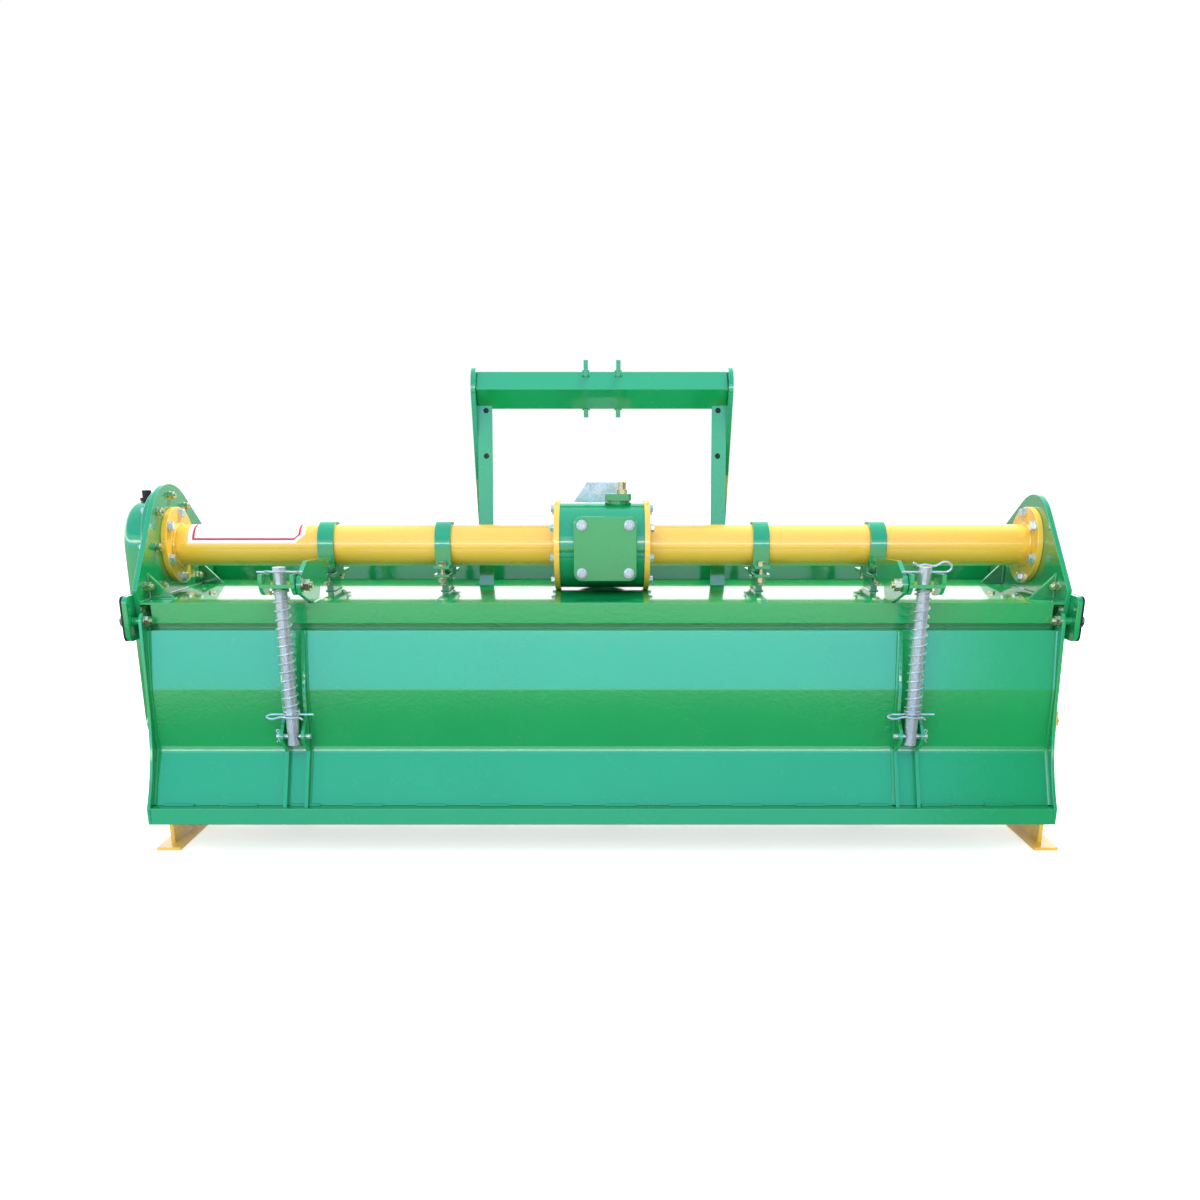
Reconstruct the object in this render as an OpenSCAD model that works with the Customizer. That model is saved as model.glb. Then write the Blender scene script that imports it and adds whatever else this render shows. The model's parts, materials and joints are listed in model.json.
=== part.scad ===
// Rotavator for a three-point hitch: side gear drive and a sprung trailing board.
// Millimetres. +X is right as seen from behind, +Y points to the tractor, +Z is up.
// The origin is on the ground, midway along the main tube and straight below its axis.

/* [Main tube] */
// Height of the main tube's axis above the ground
tube_z = 720; // [700:5:740]
// Outer diameter of the main tube
tube_d = 102; // [92:1:108]
// Wall of the main tube
tube_wall = 6; // [4:0.5:10]
// Half distance between the inner faces of the side plates
half_span = 1080; // [1060:5:1200]
// Thickness of the tube's flanges
flange_t = 14; // [10:1:18]
// Radius of the flanges at the side plates
end_flange_r = 94; // [86:1:100]
// Radius of the flanges at the gearbox
gear_flange_r = 111; // [106:1:118]

/* [Gearbox] */
// Length of the gearbox barrel along the tube
barrel_w = 208; // [190:2:230]
// Radius of the gearbox barrel
barrel_r = 105; // [98:1:108]
// Side of the square rear cover
cover_side = 154; // [140:1:165]
// Distance of the rear cover's middle to the right of the barrel's middle
cover_x = 8; // [0:1:12]
// Corner radius of the rear cover
cover_corner_r = 20; // [8:1:30]
// Thickness of the rear cover
cover_t = 14; // [8:1:20]
// Radius of the input snout
snout_r = 78; // [70:1:85]
// Distance of the snout's front face from the tube's axis
snout_y = 150; // [140:1:170]
// Radius of the splined input shaft
pto_r = 17.45; // [15:0.05:22]
// Length of the input shaft that stands out of its seal
pto_len = 76; // [60:1:90]
// Height of the shaft guard's flat top above the tube's axis
guard_rise = 150; // [130:5:165]

/* [Deck and side plates] */
// Gap between the gearbox's flanges and the deck
deck_gap = 1; // [0.5:0.5:10]
// Thickness of the deck sheet
deck_t = 5; // [3:0.5:8]
// Distance of the deck's rear edge behind the tube
deck_rear = 255; // [250:1:256]
// Distance of the front beam's rear face ahead of the tube
beam_y = 249; // [240:1:255]
// Depth of the front beam
beam_w = 60; // [50:1:65]
// Height of the front beam
beam_h = 70; // [60:1:74]
// Wall of the front beam
beam_wall = 6; // [4:0.5:10]
// Depth of the deck's rear lip
lip_h = 48; // [30:1:48]
// Thickness of the side plates
side_t = 12; // [8:1:14]
// Radius of the right side plate's round top
right_top_r = 125; // [112:1:135]
// Radius of the left side plate's round top
left_top_r = 150; // [140:1:160]

/* [Rotor] */
// Height of the rotor's axis above the ground
rotor_z = 300; // [290:1:310]
// Radius at the tips of the tines
tip_r = 240; // [225:1:245]
// Radius of the rotor tube
rotor_tube_r = 42; // [36:1:50]
// Radius of the rotor's flanges
rotor_flange_r = 105; // [95:1:115]
// Thickness of the rotor's flanges
rotor_flange_t = 10; // [8:1:14]
// Number of flanges along the rotor
rotor_flanges = 9; // [5:1:11]
// Distance of the last flange from the side plate
rotor_end_room = 120; // [110:1:180]
// Thickness of a tine
tine_t = 8; // [6:0.5:10]
// Width of a tine's cutting foot
tine_foot = 78; // [60:1:84]
// Radius of the rotor's end journals
journal_r = 30; // [24:1:36]

/* [Trailing board] */
// Distance of the board's hinge behind the tube
hinge_back = 266; // [264:1:270]
// Distance of the board's hinge below the deck
hinge_drop = 41; // [36:1:46]
// Gap between the board's end plates and the side plates
board_side_gap = 6; // [5:1:20]
// Thickness of the board's sheet
board_t = 4; // [3:0.5:6]
// Thickness of the board's end plates and ribs
rib_t = 8; // [6:1:10]
// Radius of the hinge pins
hinge_pin_r = 9; // [7:0.5:11]
// Height of the bottom rail's underside
rail_z = 100; // [96:1:104]
// Distance of the bottom rail's rear face behind the tube
rail_back = 370; // [365:1:380]
// Height of the bottom rail's section
rail_h = 40; // [30:1:42]
// Depth of the bottom rail's section
rail_w = 35; // [30:1:38]

/* [Spring struts] */
// Distance of each strut from the middle
strut_x = 725; // [715:1:740]
// Distance of the struts behind the tube
strut_back = 325; // [318:1:330]
// Distance of the pin at the foot of a strut below the board's hinge
strut_pin_drop = 262; // [252:1:272]
// Height of the swivel's pivot above the deck
swivel_rise = 49; // [44:1:54]
// Radius of the strut rod
rod_r = 14.5; // [12:0.5:15]
// Radius of the pin at the foot of a strut
strut_pin_r = 6; // [5:0.5:7]
// Mean radius of the spring
spring_r = 17.5; // [17.5:0.5:20]
// Radius of the spring's wire
wire_r = 2; // [1.5:0.25:2]
// Turns of the spring
spring_turns = 16; // [10:1:18]
// Height of the spring's washer above the strut's foot pin
spring_foot_rise = 57; // [50:1:65]

/* [Headstock] */
// Half width over the headstock's masts
mast_half = 337; // [320:1:350]
// Thickness of the masts and hitch plates
mast_t = 12; // [10:1:14]
// Side of the square cross beam, set on its edge
cross_side = 65; // [56:1:70]
// Wall of the cross beam
cross_wall = 5; // [4:0.5:8]
// Height of the cross beam's centre above the tube's axis
cross_rise = 380; // [340:5:400]
// Distance of the cross beam's centre ahead of the tube
cross_y = 200; // [190:1:210]
// Height of the top link's pin above the cross beam's centre
top_pin_rise = 25; // [10:1:30]
// Distance of the top link's pin ahead of the cross beam's centre
top_pin_lead = 90; // [84:1:100]
// Radius of the top link's pin hole
top_pin_r = 12.75; // [10:0.05:16]
// Half distance between the middles of the top link's plates
top_plate_x = 42; // [34:1:48]
// Half distance between the lower links
lower_x = 412; // [400:1:430]
// Gap between a lower bracket's plates
lower_gap = 60; // [50:1:70]
// Distance of the lower links' pins below the front beam
lower_pin_drop = 65; // [55:1:75]
// Radius of the lower links' pin holes
lower_pin_r = 14.3; // [11:0.05:18]
// Distance of the lower links' pins ahead of the front beam
lower_pin_lead = 25; // [22:1:40]
// Radius of the lower brackets' round ends
lower_lug_r = 36; // [30:1:40]

/* [Side gear drive] */
// Depth of the drive case's cover
case_depth = 60; // [50:1:70]
// Radius of the drive case's cover round the tube's axis
case_top_r = 108; // [100:1:112]
// Radius of the drive case's cover round the rotor's axis
case_low_r = 92; // [84:1:98]
// Thickness of the drive case's flange
case_flange_t = 18; // [14:1:22]

/* [Skids and clamps] */
// Width of a skid's sole
sole_w = 58; // [50:1:64]
// Thickness of a skid's sole
sole_t = 8; // [6:1:10]
// Thickness of a skid's leg
leg_t = 10; // [8:1:12]
// Distance of the inner clamps from the middle
clamp_inner_x = 396; // [390:1:420]
// Distance from a strut inwards to the outer clamp beside it
clamp_inset = 38; // [30:1:45]
// Width of a clamp's strap
strap_w = 40; // [30:1:44]
// Thickness of a clamp's strap
strap_t = 8; // [6:1:9]

/* [Hidden] */

// Facets of round faces
$fn = 96;
// Clearance between a pin and its hole
pin_gap = 0.3;
// Clearance between curved faces that seat on each other
seat_gap = 0.2;
// Radial clearance of a strut rod in its swivel
rod_gap = 1;
// Radial clearance of a strut rod's eye on its pin
eye_gap = 3.5;
// Extra length of a cutting tool past the face it cuts
over = 1;

// Height of the front beam's top above the deck
beam_stand = 52;

tube_r = tube_d / 2;
side_outer = half_span + side_t;
deck_z = tube_z - gear_flange_r - deck_gap;
beam_front = beam_y + beam_w;
beam_top = deck_z + beam_stand;
beam_bottom = beam_top - beam_h;
hinge_y = -hinge_back;
hinge_z = deck_z - hinge_drop;
board_half = half_span - board_side_gap;
strut_y = -strut_back;
strut_pin_z = hinge_z - strut_pin_drop;
swivel_z = deck_z + swivel_rise;
spring_foot_z = strut_pin_z + spring_foot_rise;
cross_z = tube_z + cross_rise;
top_pin_y = cross_y + top_pin_lead;
top_pin_z = cross_z + top_pin_rise;
lower_pin_y = beam_front + lower_pin_lead;
lower_pin_z = beam_bottom - lower_pin_drop;
rotor_flange_x = half_span - rotor_end_room;

paint_green = [0.09, 0.50, 0.27];
paint_yellow = [0.93, 0.70, 0.16];
bright_zinc = [0.78, 0.80, 0.82];
dark_rubber = [0.10, 0.11, 0.12];

// Point where the tangent from p touches the circle of radius r at c, on side s
function touch(p, c, r, s) =
    let (v = p - c, a = atan2(v.y, v.x) + s * acos(r / norm(v)))
    c + r * [cos(a), sin(a)];

// Points of a quadratic curve from a to c that leans towards b
function bend_points(a, b, c, n) =
    [for (i = [0 : n]) let (t = i / n) (1 - t) * (1 - t) * a + 2 * t * (1 - t) * b + t * t * c];

// Copies to the left and right
module both_sides() {
    children();
    mirror([1, 0, 0]) children();
}

// One copy, mirrored when the side is -1
module on_side(side) {
    mirror([side < 0 ? 1 : 0, 0, 0]) children();
}

// A plate whose outline is drawn in Y and Z, from x0 to x0 + t
module plate_x(x0, t) {
    translate([x0, 0, 0]) rotate([90, 0, 90]) linear_extrude(t) children();
}

// A plate whose outline is drawn in X and Z, from y0 to y0 + t
module plate_y(y0, t) {
    translate([0, y0 + t, 0]) rotate([90, 0, 0]) linear_extrude(t) children();
}

// A round bar along X from x0 to x1
module bar_x(x0, x1, r) {
    translate([x0, 0, 0]) rotate([0, 90, 0]) cylinder(r = r, h = x1 - x0);
}

// A round bar along Y from y0 to y1
module bar_y(y0, y1, r) {
    translate([0, y1, 0]) rotate([90, 0, 0]) cylinder(r = r, h = y1 - y0);
}

// A square with round corners, centred
module round_square(w, h, r) {
    square([w - 2 * r, h], center = true);
    square([w, h - 2 * r], center = true);
    for (x = [-1, 1], z = [-1, 1])
        translate([x * (w / 2 - r), z * (h / 2 - r)]) circle(r);
}

// The outline of a belt round an upper and a lower circle on the same vertical
module belt(z_top, r_top, z_low, r_low) {
    a = asin((r_low - r_top) / (z_top - z_low));
    translate([0, z_top]) circle(r_top);
    translate([0, z_low]) circle(r_low);
    polygon([
        [r_top * cos(a), z_top + r_top * sin(a)],
        [-r_top * cos(a), z_top + r_top * sin(a)],
        [-r_low * cos(a), z_low + r_low * sin(a)],
        [r_low * cos(a), z_low + r_low * sin(a)]
    ]);
}

// Main tube with a flange at each end
module main_tube(side) {
    gear_face = barrel_w / 2;
    color(paint_yellow) on_side(side) translate([0, 0, tube_z]) difference() {
        union() {
            bar_x(gear_face, half_span, tube_r);
            bar_x(gear_face, gear_face + flange_t, gear_flange_r);
            bar_x(half_span - flange_t, half_span, end_flange_r);
        }
        bar_x(gear_face - over, half_span + over, tube_r - tube_wall);
    }
}

module main_tube_left() { main_tube(-1); }
module main_tube_right() { main_tube(1); }

cover_pad = 13;
cover_seat_y = -barrel_r - cover_pad;
snout_flange_t = 12;
snout_flange_r = snout_r + 10;
nose_r = 46;
nose_len = 44;
nose_front = snout_y + snout_flange_t + nose_len;
pto_back = nose_front - 40;
filler_x = 40;
filler_w = 65;
filler_h = 16;
filler_stand = 5;
filler_seat_z = tube_z + barrel_r + filler_stand;

// Barrel gearbox: pad for the rear cover, input snout and filler boss
module gearbox_housing() {
    color(paint_green) difference() {
        union() {
            translate([0, 0, tube_z]) bar_x(-barrel_w / 2, barrel_w / 2, barrel_r);
            translate([cover_x, 0, tube_z]) plate_y(cover_seat_y, barrel_r)
                round_square(cover_side, cover_side, cover_corner_r);
            translate([0, 0, tube_z]) bar_y(0, snout_y, snout_r);
            translate([0, 0, tube_z]) bar_y(snout_y, snout_y + snout_flange_t, snout_flange_r);
            translate([0, 0, tube_z]) bar_y(snout_y, nose_front, nose_r);
            translate([filler_x, 0, tube_z]) cylinder(r = filler_w / 2 - 4, h = filler_seat_z - tube_z);
        }
        translate([0, 0, tube_z]) bar_y(pto_back - pin_gap, nose_front + over, pto_r + pin_gap);
    }
}

// Square rear cover
module gearbox_cover() {
    color(paint_green) translate([cover_x, 0, tube_z]) plate_y(cover_seat_y - cover_t, cover_t)
        round_square(cover_side, cover_side, cover_corner_r);
}

breather_x = 50;
breather_r = 13;
breather_h = 28;

// Filler lid with its breather plug
module gearbox_breather() {
    color(bright_zinc) union() {
        translate([filler_x, 0, filler_seat_z]) linear_extrude(filler_h)
            round_square(filler_w, filler_w, 8);
        translate([breather_x, 0, filler_seat_z + filler_h]) {
            cylinder(r = breather_r, h = 10, $fn = 6);
            cylinder(r = breather_r - 3, h = breather_h);
        }
    }
}

guard_t = 3;
guard_len = 130;
guard_half = 84;
guard_top_half = 40;
guard_top_z = tube_z + guard_rise;
guard_shoulder_z = guard_top_z - 62;
guard_foot_z = tube_z - 24;
guard_y = snout_y + snout_flange_t;

// Outline of the shaft guard's hood, drawn in X and Z
module guard_outline(inset) {
    polygon([
        [-guard_half + inset, guard_foot_z - (inset > 0 ? over : 0)],
        [-guard_half + inset, guard_shoulder_z],
        [-guard_top_half, guard_top_z - inset],
        [guard_top_half, guard_top_z - inset],
        [guard_half - inset, guard_shoulder_z],
        [guard_half - inset, guard_foot_z - (inset > 0 ? over : 0)]
    ]);
}

// Bent sheet hood over the input shaft, bolted to the snout's flange
module pto_guard() {
    color(bright_zinc) difference() {
        plate_y(guard_y, guard_len) guard_outline(0);
        plate_y(guard_y + guard_t, guard_len) guard_outline(guard_t);
        translate([0, 0, tube_z]) bar_y(guard_y - over, guard_y + guard_t + over, nose_r + seat_gap);
    }
}

lip_half = half_span - 26;
curtain_t = 4;
curtain_y = beam_y + 8;
curtain_foot_z = beam_bottom - 120;

// Deck sheet with its rear lip
module deck() {
    color(paint_green) union() {
        translate([-half_span, -deck_rear, deck_z - deck_t]) cube([2 * half_span, deck_rear + beam_y, deck_t]);
        translate([-lip_half, -deck_rear, deck_z - lip_h]) cube([2 * lip_half, deck_t, lip_h]);
    }
}

// Front curtain below the front beam
module front_curtain() {
    color(paint_green) translate([-half_span, curtain_y, curtain_foot_z])
        cube([2 * half_span, curtain_t, beam_bottom - curtain_foot_z]);
}

// Square front beam between the side plates
module front_beam() {
    color(paint_green) translate([-half_span, beam_y, beam_bottom]) difference() {
        cube([2 * half_span, beam_w, beam_h]);
        translate([-over, beam_wall, beam_wall])
            cube([2 * half_span + 2 * over, beam_w - 2 * beam_wall, beam_h - 2 * beam_wall]);
    }
}

shoulder_rear = [-deck_rear - 2, deck_z + 29];
shoulder_front = [beam_front + 8, beam_top + 6];
hip_z = rotor_z + 30;
hip_half = deck_rear - 9;
toe_half = 130;
toe_z = rotor_z - 135;
journal_room = 12;

// Outline of a side plate with a round top, drawn in Y and Z
module side_outline(top_r) {
    axis = [0, tube_z];
    translate(axis) circle(top_r);
    polygon([
        axis,
        touch(shoulder_front, axis, top_r, 1),
        shoulder_front,
        [shoulder_front.x, beam_bottom - 10],
        [hip_half, hip_z],
        [toe_half, toe_z],
        [-toe_half, toe_z],
        [-hip_half, hip_z],
        [-hip_half, hinge_z],
        shoulder_rear,
        touch(shoulder_rear, axis, top_r, -1)
    ]);
}

gusset = 60;

// Side plate with the rotor's opening and gussets on the deck
module side_plate(side, top_r) {
    color(paint_green) on_side(side) union() {
        difference() {
            plate_x(half_span, side_t) side_outline(top_r);
            translate([0, 0, rotor_z]) bar_x(half_span - over, side_outer + over, journal_r + journal_room);
        }
        for (y = [-180, 150])
            translate([half_span, y, deck_z]) rotate([90, 0, 0]) linear_extrude(8)
                polygon([[0, 0], [-gusset, 0], [0, gusset]]);
    }
}

module side_plate_left() { side_plate(-1, left_top_r); }
module side_plate_right() { side_plate(1, right_top_r); }

case_reach = side_outer + case_flange_t + case_depth;
case_rim = 28;
case_edge_r = 22;

// Flange that carries the side gear drive and the rotor's left journal
module drive_case_flange() {
    color(paint_green) difference() {
        plate_x(-side_outer - case_flange_t, case_flange_t)
            belt(tube_z, case_top_r + case_rim, rotor_z, case_low_r + case_rim);
        translate([0, 0, rotor_z])
            bar_x(-side_outer - case_flange_t - over, -side_outer + over, journal_r + pin_gap);
    }
}

// Round puck with a soft outer edge, for the ends of the drive case
module case_puck(z, r) {
    translate([-side_outer - case_flange_t, 0, z]) rotate([0, -90, 0]) rotate_extrude($fn = 48) union() {
        square([r - case_edge_r, case_depth]);
        square([r, case_depth - case_edge_r]);
        translate([r - case_edge_r, case_depth - case_edge_r]) circle(case_edge_r, $fn = 32);
    }
}

// Smooth cover of the side gear drive
module drive_case_cover() {
    color(paint_green) hull() {
        case_puck(tube_z, case_top_r);
        case_puck(rotor_z, case_low_r);
    }
}

case_plug_x = -side_outer - case_flange_t - 28;

// Breather plug on the drive case
module drive_case_breather() {
    color(dark_rubber) translate([case_plug_x, 0, tube_z + case_top_r + seat_gap]) union() {
        cylinder(r = 17, h = 8);
        cylinder(r = 11, h = 26);
    }
}

case_guard_t = 6;
case_guard_top = rotor_z - 30;

// Bent guard under the foot of the drive case
module drive_case_guard() {
    x0 = -case_reach + case_edge_r;
    color(dark_rubber) intersection() {
        plate_x(x0, case_depth - case_edge_r) difference() {
            translate([0, rotor_z]) circle(case_low_r + case_guard_t);
            translate([0, rotor_z]) circle(case_low_r + seat_gap);
        }
        translate([-2 * case_reach, -case_reach, 0]) cube([2 * case_reach, 2 * case_reach, case_guard_top]);
    }
}

bearing_flange_t = 14;
bearing_flange_r = journal_r + 62;
bearing_hub_r = journal_r + 32;
bearing_cap_r = journal_r + 10;
bearing_cap_t = 18;
bearing_floor = bearing_cap_t + 12;

// Housing of the rotor's right bearing
module bearing_housing() {
    color(paint_green) translate([0, 0, rotor_z]) difference() {
        union() {
            bar_x(side_outer, side_outer + bearing_flange_t, bearing_flange_r);
            bar_x(side_outer, case_reach - bearing_cap_t, bearing_hub_r);
            bar_x(side_outer, case_reach, bearing_cap_r);
        }
        bar_x(side_outer - over, case_reach - bearing_floor, journal_r + pin_gap);
    }
}

sole_rear = -280;
sole_flat = 150;
sole_curve_r = 220;
sole_rise = 50;
leg_rear = -hip_half;
leg_top = hip_z + 15;
leg_strap = 62;
leg_bridge = toe_z - 15;

// Outline of a skid's sole: flat behind, curving up in front
module sole_outline() {
    translate([sole_rear, 0]) square([sole_flat - sole_rear, sole_t]);
    intersection() {
        translate([sole_flat, sole_curve_r]) difference() {
            circle(sole_curve_r);
            circle(sole_curve_r - sole_t);
        }
        polygon([
            [sole_flat, sole_curve_r],
            [sole_flat, -over],
            [sole_flat + 2 * sole_curve_r * tan(sole_rise / 2), -over],
            [sole_flat + 2 * sole_curve_r * sin(sole_rise), sole_curve_r - 2 * sole_curve_r * cos(sole_rise)]
        ]);
    }
}

// Outline of a skid's leg: rear upright, low bridge and front upright
module leg_outline() {
    difference() {
        polygon([
            [leg_rear, sole_t],
            [leg_rear, leg_top],
            [leg_rear + leg_strap, leg_top],
            [leg_rear + leg_strap + 70, leg_bridge + 45],
            [leg_rear + leg_strap + 250, leg_bridge + 45],
            [sole_flat, leg_bridge],
            [sole_flat, sole_t]
        ]);
        polygon([
            [leg_rear + leg_strap, 60],
            [leg_rear + leg_strap, leg_bridge - 40],
            [sole_flat - 160, leg_bridge - 20],
            [sole_flat - 120, 60]
        ]);
        for (z = [leg_top - 110, leg_top - 30])
            translate([leg_rear + leg_strap / 2, z]) circle(8);
    }
}

// Skid whose leg starts at x0, with the sole's inner edge at sole_x
module skid(x0, sole_x) {
    color(paint_yellow) union() {
        plate_x(x0, leg_t) leg_outline();
        plate_x(sole_x, sole_w) sole_outline();
    }
}

module skid_left() { skid(-half_span, -half_span - 23); }
module skid_right() { skid(side_outer, side_outer - 20); }

strap_in_r = tube_r + seat_gap;
strap_out_r = strap_in_r + strap_t;
strap_drop = tube_r + 1;
pinch_gap = 12;
ear_y = strap_out_r + 34;
saddle_top = tube_z - strap_drop - pinch_gap;
saddle_t = 8;
cup_half = tube_r - 15;
cup_rise = 24;
stand_half = 40;
stand_t = 16;
clamp_outer_x = strut_x - clamp_inset;
clamp_places = [-clamp_outer_x, -clamp_inner_x, clamp_inner_x, clamp_outer_x];

// Strap over the main tube: half ring, straight legs and feet front and rear
module clamp_strap() {
    plate_x(-strap_w / 2, strap_w) translate([0, tube_z]) difference() {
        union() {
            circle(strap_out_r);
            translate([-strap_out_r, -strap_drop]) square([2 * strap_out_r, strap_drop]);
            translate([-ear_y, -strap_drop]) square([2 * ear_y, strap_t]);
        }
        circle(strap_in_r);
        translate([-strap_in_r, -2 * strap_drop]) square([2 * strap_in_r, 2 * strap_drop]);
        translate([-2 * ear_y, -3 * strap_drop]) square([4 * ear_y, 2 * strap_drop]);
    }
}

// Saddle under the main tube: plate for the strap's bolts, cup and a stand on the deck
module clamp_saddle() {
    plate_x(-strap_w / 2, strap_w) difference() {
        union() {
            translate([-ear_y, saddle_top - saddle_t]) square([2 * ear_y, saddle_t]);
            translate([-cup_half, saddle_top - saddle_t]) square([2 * cup_half, saddle_t + cup_rise]);
        }
        translate([0, tube_z]) circle(strap_in_r);
    }
    plate_x(-stand_t / 2, stand_t) translate([-stand_half, deck_z])
        square([2 * stand_half, saddle_top - saddle_t / 2 - deck_z]);
}

module clamp_straps() {
    color(paint_green) for (x = clamp_places) translate([x, 0, 0]) clamp_strap();
}

module clamp_saddles() {
    color(paint_green) for (x = clamp_places) translate([x, 0, 0]) union() clamp_saddle();
}

swivel_half = 40;
arm_gap = 1;
arm_t = 10;
arm_boss_r = 22;
arm_top = deck_z + 98;
arm_front = -ear_y - 5;
arm_foot = 58;
trunnion_r = 8;
trunnion_len = 16;

// Plate on the deck's rear edge that carries the pivot of a strut's swivel
module strut_arm(side) {
    pivot = [strut_y, swivel_z];
    shoulder = [-deck_rear - 20, arm_top];
    heel = [-deck_rear, deck_z];
    color(paint_green) on_side(side) plate_x(strut_x - swivel_half - arm_gap - arm_t, arm_t) difference() {
        union() {
            translate(pivot) circle(arm_boss_r);
            polygon([
                pivot,
                touch(shoulder, pivot, arm_boss_r, 1),
                shoulder,
                [arm_front, arm_top - 8],
                [arm_front, deck_z + 34],
                heel + [arm_foot + 20, 34],
                heel + [arm_foot, 0],
                heel,
                touch(heel, pivot, arm_boss_r, -1)
            ]);
        }
        translate(pivot) circle(trunnion_r + pin_gap);
    }
}

module strut_arm_left() { strut_arm(-1); }
module strut_arm_right() { strut_arm(1); }

mast_inner = mast_half - mast_t;
mast_head_r = 56;
mast_foot_rear = beam_y + 4;

// Cross section of the headstock's beam, drawn in Y and Z
module cross_outline(side) {
    translate([cross_y, cross_z]) rotate(45) square(side, center = true);
}

// Square cross beam of the headstock, set on its edge
module headstock_beam() {
    color(paint_green) plate_x(-mast_inner, 2 * mast_inner) difference() {
        cross_outline(cross_side);
        cross_outline(cross_side - 2 * cross_wall);
    }
}

// Flat mast from the front beam to the cross beam
module headstock_mast(side) {
    head = [cross_y, cross_z];
    color(paint_green) on_side(side) plate_x(mast_inner, mast_t) {
        translate(head) circle(mast_head_r);
        polygon([
            touch([mast_foot_rear, beam_top], head, mast_head_r, -1),
            head,
            touch([beam_front, beam_top], head, mast_head_r, 1),
            [beam_front, beam_top],
            [mast_foot_rear, beam_top]
        ]);
    }
}

module headstock_mast_left() { headstock_mast(-1); }
module headstock_mast_right() { headstock_mast(1); }

brace_w = 38;
brace_t = 5;
brace_foot_y = 95;
brace_holes_z = [cross_z - 164, cross_z - 50];
brace_lean = atan((cross_y - brace_foot_y) / (cross_z - deck_z));

// Leaning angle-iron brace from the cross beam down to the deck
module headstock_brace(side) {
    brace_len = (cross_z - deck_z) / cos(brace_lean);
    color(paint_green) on_side(side) difference() {
        translate([mast_inner - brace_w, brace_foot_y, deck_z]) rotate([-brace_lean, 0, 0])
            translate([0, 0, -brace_w]) difference() {
                cube([brace_w, brace_w, brace_len + brace_w]);
                translate([-over, brace_t, -over])
                    cube([brace_w - brace_t + over, brace_w, brace_len + brace_w + 2 * over]);
                for (z = brace_holes_z)
                    translate([brace_w / 2 - brace_t / 2, -over, (z - deck_z) / cos(brace_lean) + brace_w])
                        rotate([-90, 0, 0]) cylinder(r = 7, h = brace_t + 2 * over);
            }
        plate_x(0, mast_half) cross_outline(cross_side);
        translate([0, -deck_rear, deck_z - 4 * brace_w]) cube([mast_half, 2 * deck_rear, 4 * brace_w]);
    }
}

module headstock_brace_left() { headstock_brace(-1); }
module headstock_brace_right() { headstock_brace(1); }

top_plate_top = cross_z + 73;
top_plate_low = cross_z - 66;
top_plate_rear = cross_y - 14;
top_plate_front = top_pin_y + 34;

// Pair of plates for the top link's pin, seated on the cross beam
module top_link_plates() {
    pin = [top_pin_y, top_pin_z];
    color(paint_green) for (x = [-top_plate_x, top_plate_x]) plate_x(x - mast_t / 2, mast_t) difference() {
        union() {
            translate(pin) circle(top_plate_front - top_pin_y);
            polygon([
                [top_plate_rear, top_plate_top],
                [top_plate_rear + 60, top_plate_top],
                touch([top_plate_rear + 60, top_plate_top], pin, top_plate_front - top_pin_y, -1),
                pin,
                touch([cross_y + 26, top_plate_low], pin, top_plate_front - top_pin_y, 1),
                [cross_y + 26, top_plate_low],
                [cross_y, top_plate_low],
                [cross_y, cross_z],
                [top_plate_rear, cross_z]
            ]);
        }
        cross_outline(cross_side);
        translate(pin) circle(top_pin_r);
        translate([top_plate_rear - over, cross_z - cross_side])
            square([cross_y - top_plate_rear + over, cross_side]);
    }
}

// Pair of plates for a lower link's pin, on the front beam
module lower_hitch(side) {
    pin = [lower_pin_y, lower_pin_z];
    color(paint_green) on_side(side) for (x = [-lower_gap / 2 - mast_t, lower_gap / 2])
        plate_x(lower_x + x, mast_t) difference() {
            union() {
                translate(pin) circle(lower_lug_r);
                polygon([
                    [beam_front, beam_top],
                    [beam_front + 20, beam_top],
                    touch([beam_front + 20, beam_top], pin, lower_lug_r, -1),
                    pin,
                    [lower_pin_y - lower_lug_r, lower_pin_z],
                    [beam_front, beam_bottom]
                ]);
            }
            translate(pin) circle(lower_pin_r);
            translate([beam_y, beam_bottom]) square([beam_w, beam_h]);
        }
}

module lower_hitch_left() { lower_hitch(-1); }
module lower_hitch_right() { lower_hitch(1); }

cheek_t = 12;
cheek_rear = hinge_y - 28;
cheek_front = hinge_y + 76;
cheek_top = hinge_z + 59;
cheek_low = hinge_z - 45;
cheek_corner_r = 16;
board_end_inner = board_half - rib_t;

// Cheek plate on a side plate, with the pin of the trailing board's hinge
module hinge_cheek(side) {
    color(paint_green) on_side(side) union() {
        plate_x(side_outer, cheek_t)
            translate([(cheek_rear + cheek_front) / 2, (cheek_top + cheek_low) / 2])
                round_square(cheek_front - cheek_rear, cheek_top - cheek_low, cheek_corner_r);
        translate([0, hinge_y, hinge_z]) bar_x(board_end_inner - 4, side_outer + cheek_t, hinge_pin_r);
    }
}

module hinge_cheek_left() { hinge_cheek(-1); }
module hinge_cheek_right() { hinge_cheek(1); }

rail_top = rail_z + rail_h;
rail_rear = -rail_back;
board_drop = hinge_z - rail_top;
bend_high = 0.3724;
bend_low = 0.7143;
board_line = [
    [hinge_y + 4, hinge_z - 22],
    [hinge_y - 18, hinge_z - bend_high * board_drop],
    [hinge_y - 22, hinge_z - bend_low * board_drop],
    [rail_rear + 25, rail_top]
];

strip_reach = 25;
strip_rise = 34;

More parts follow.
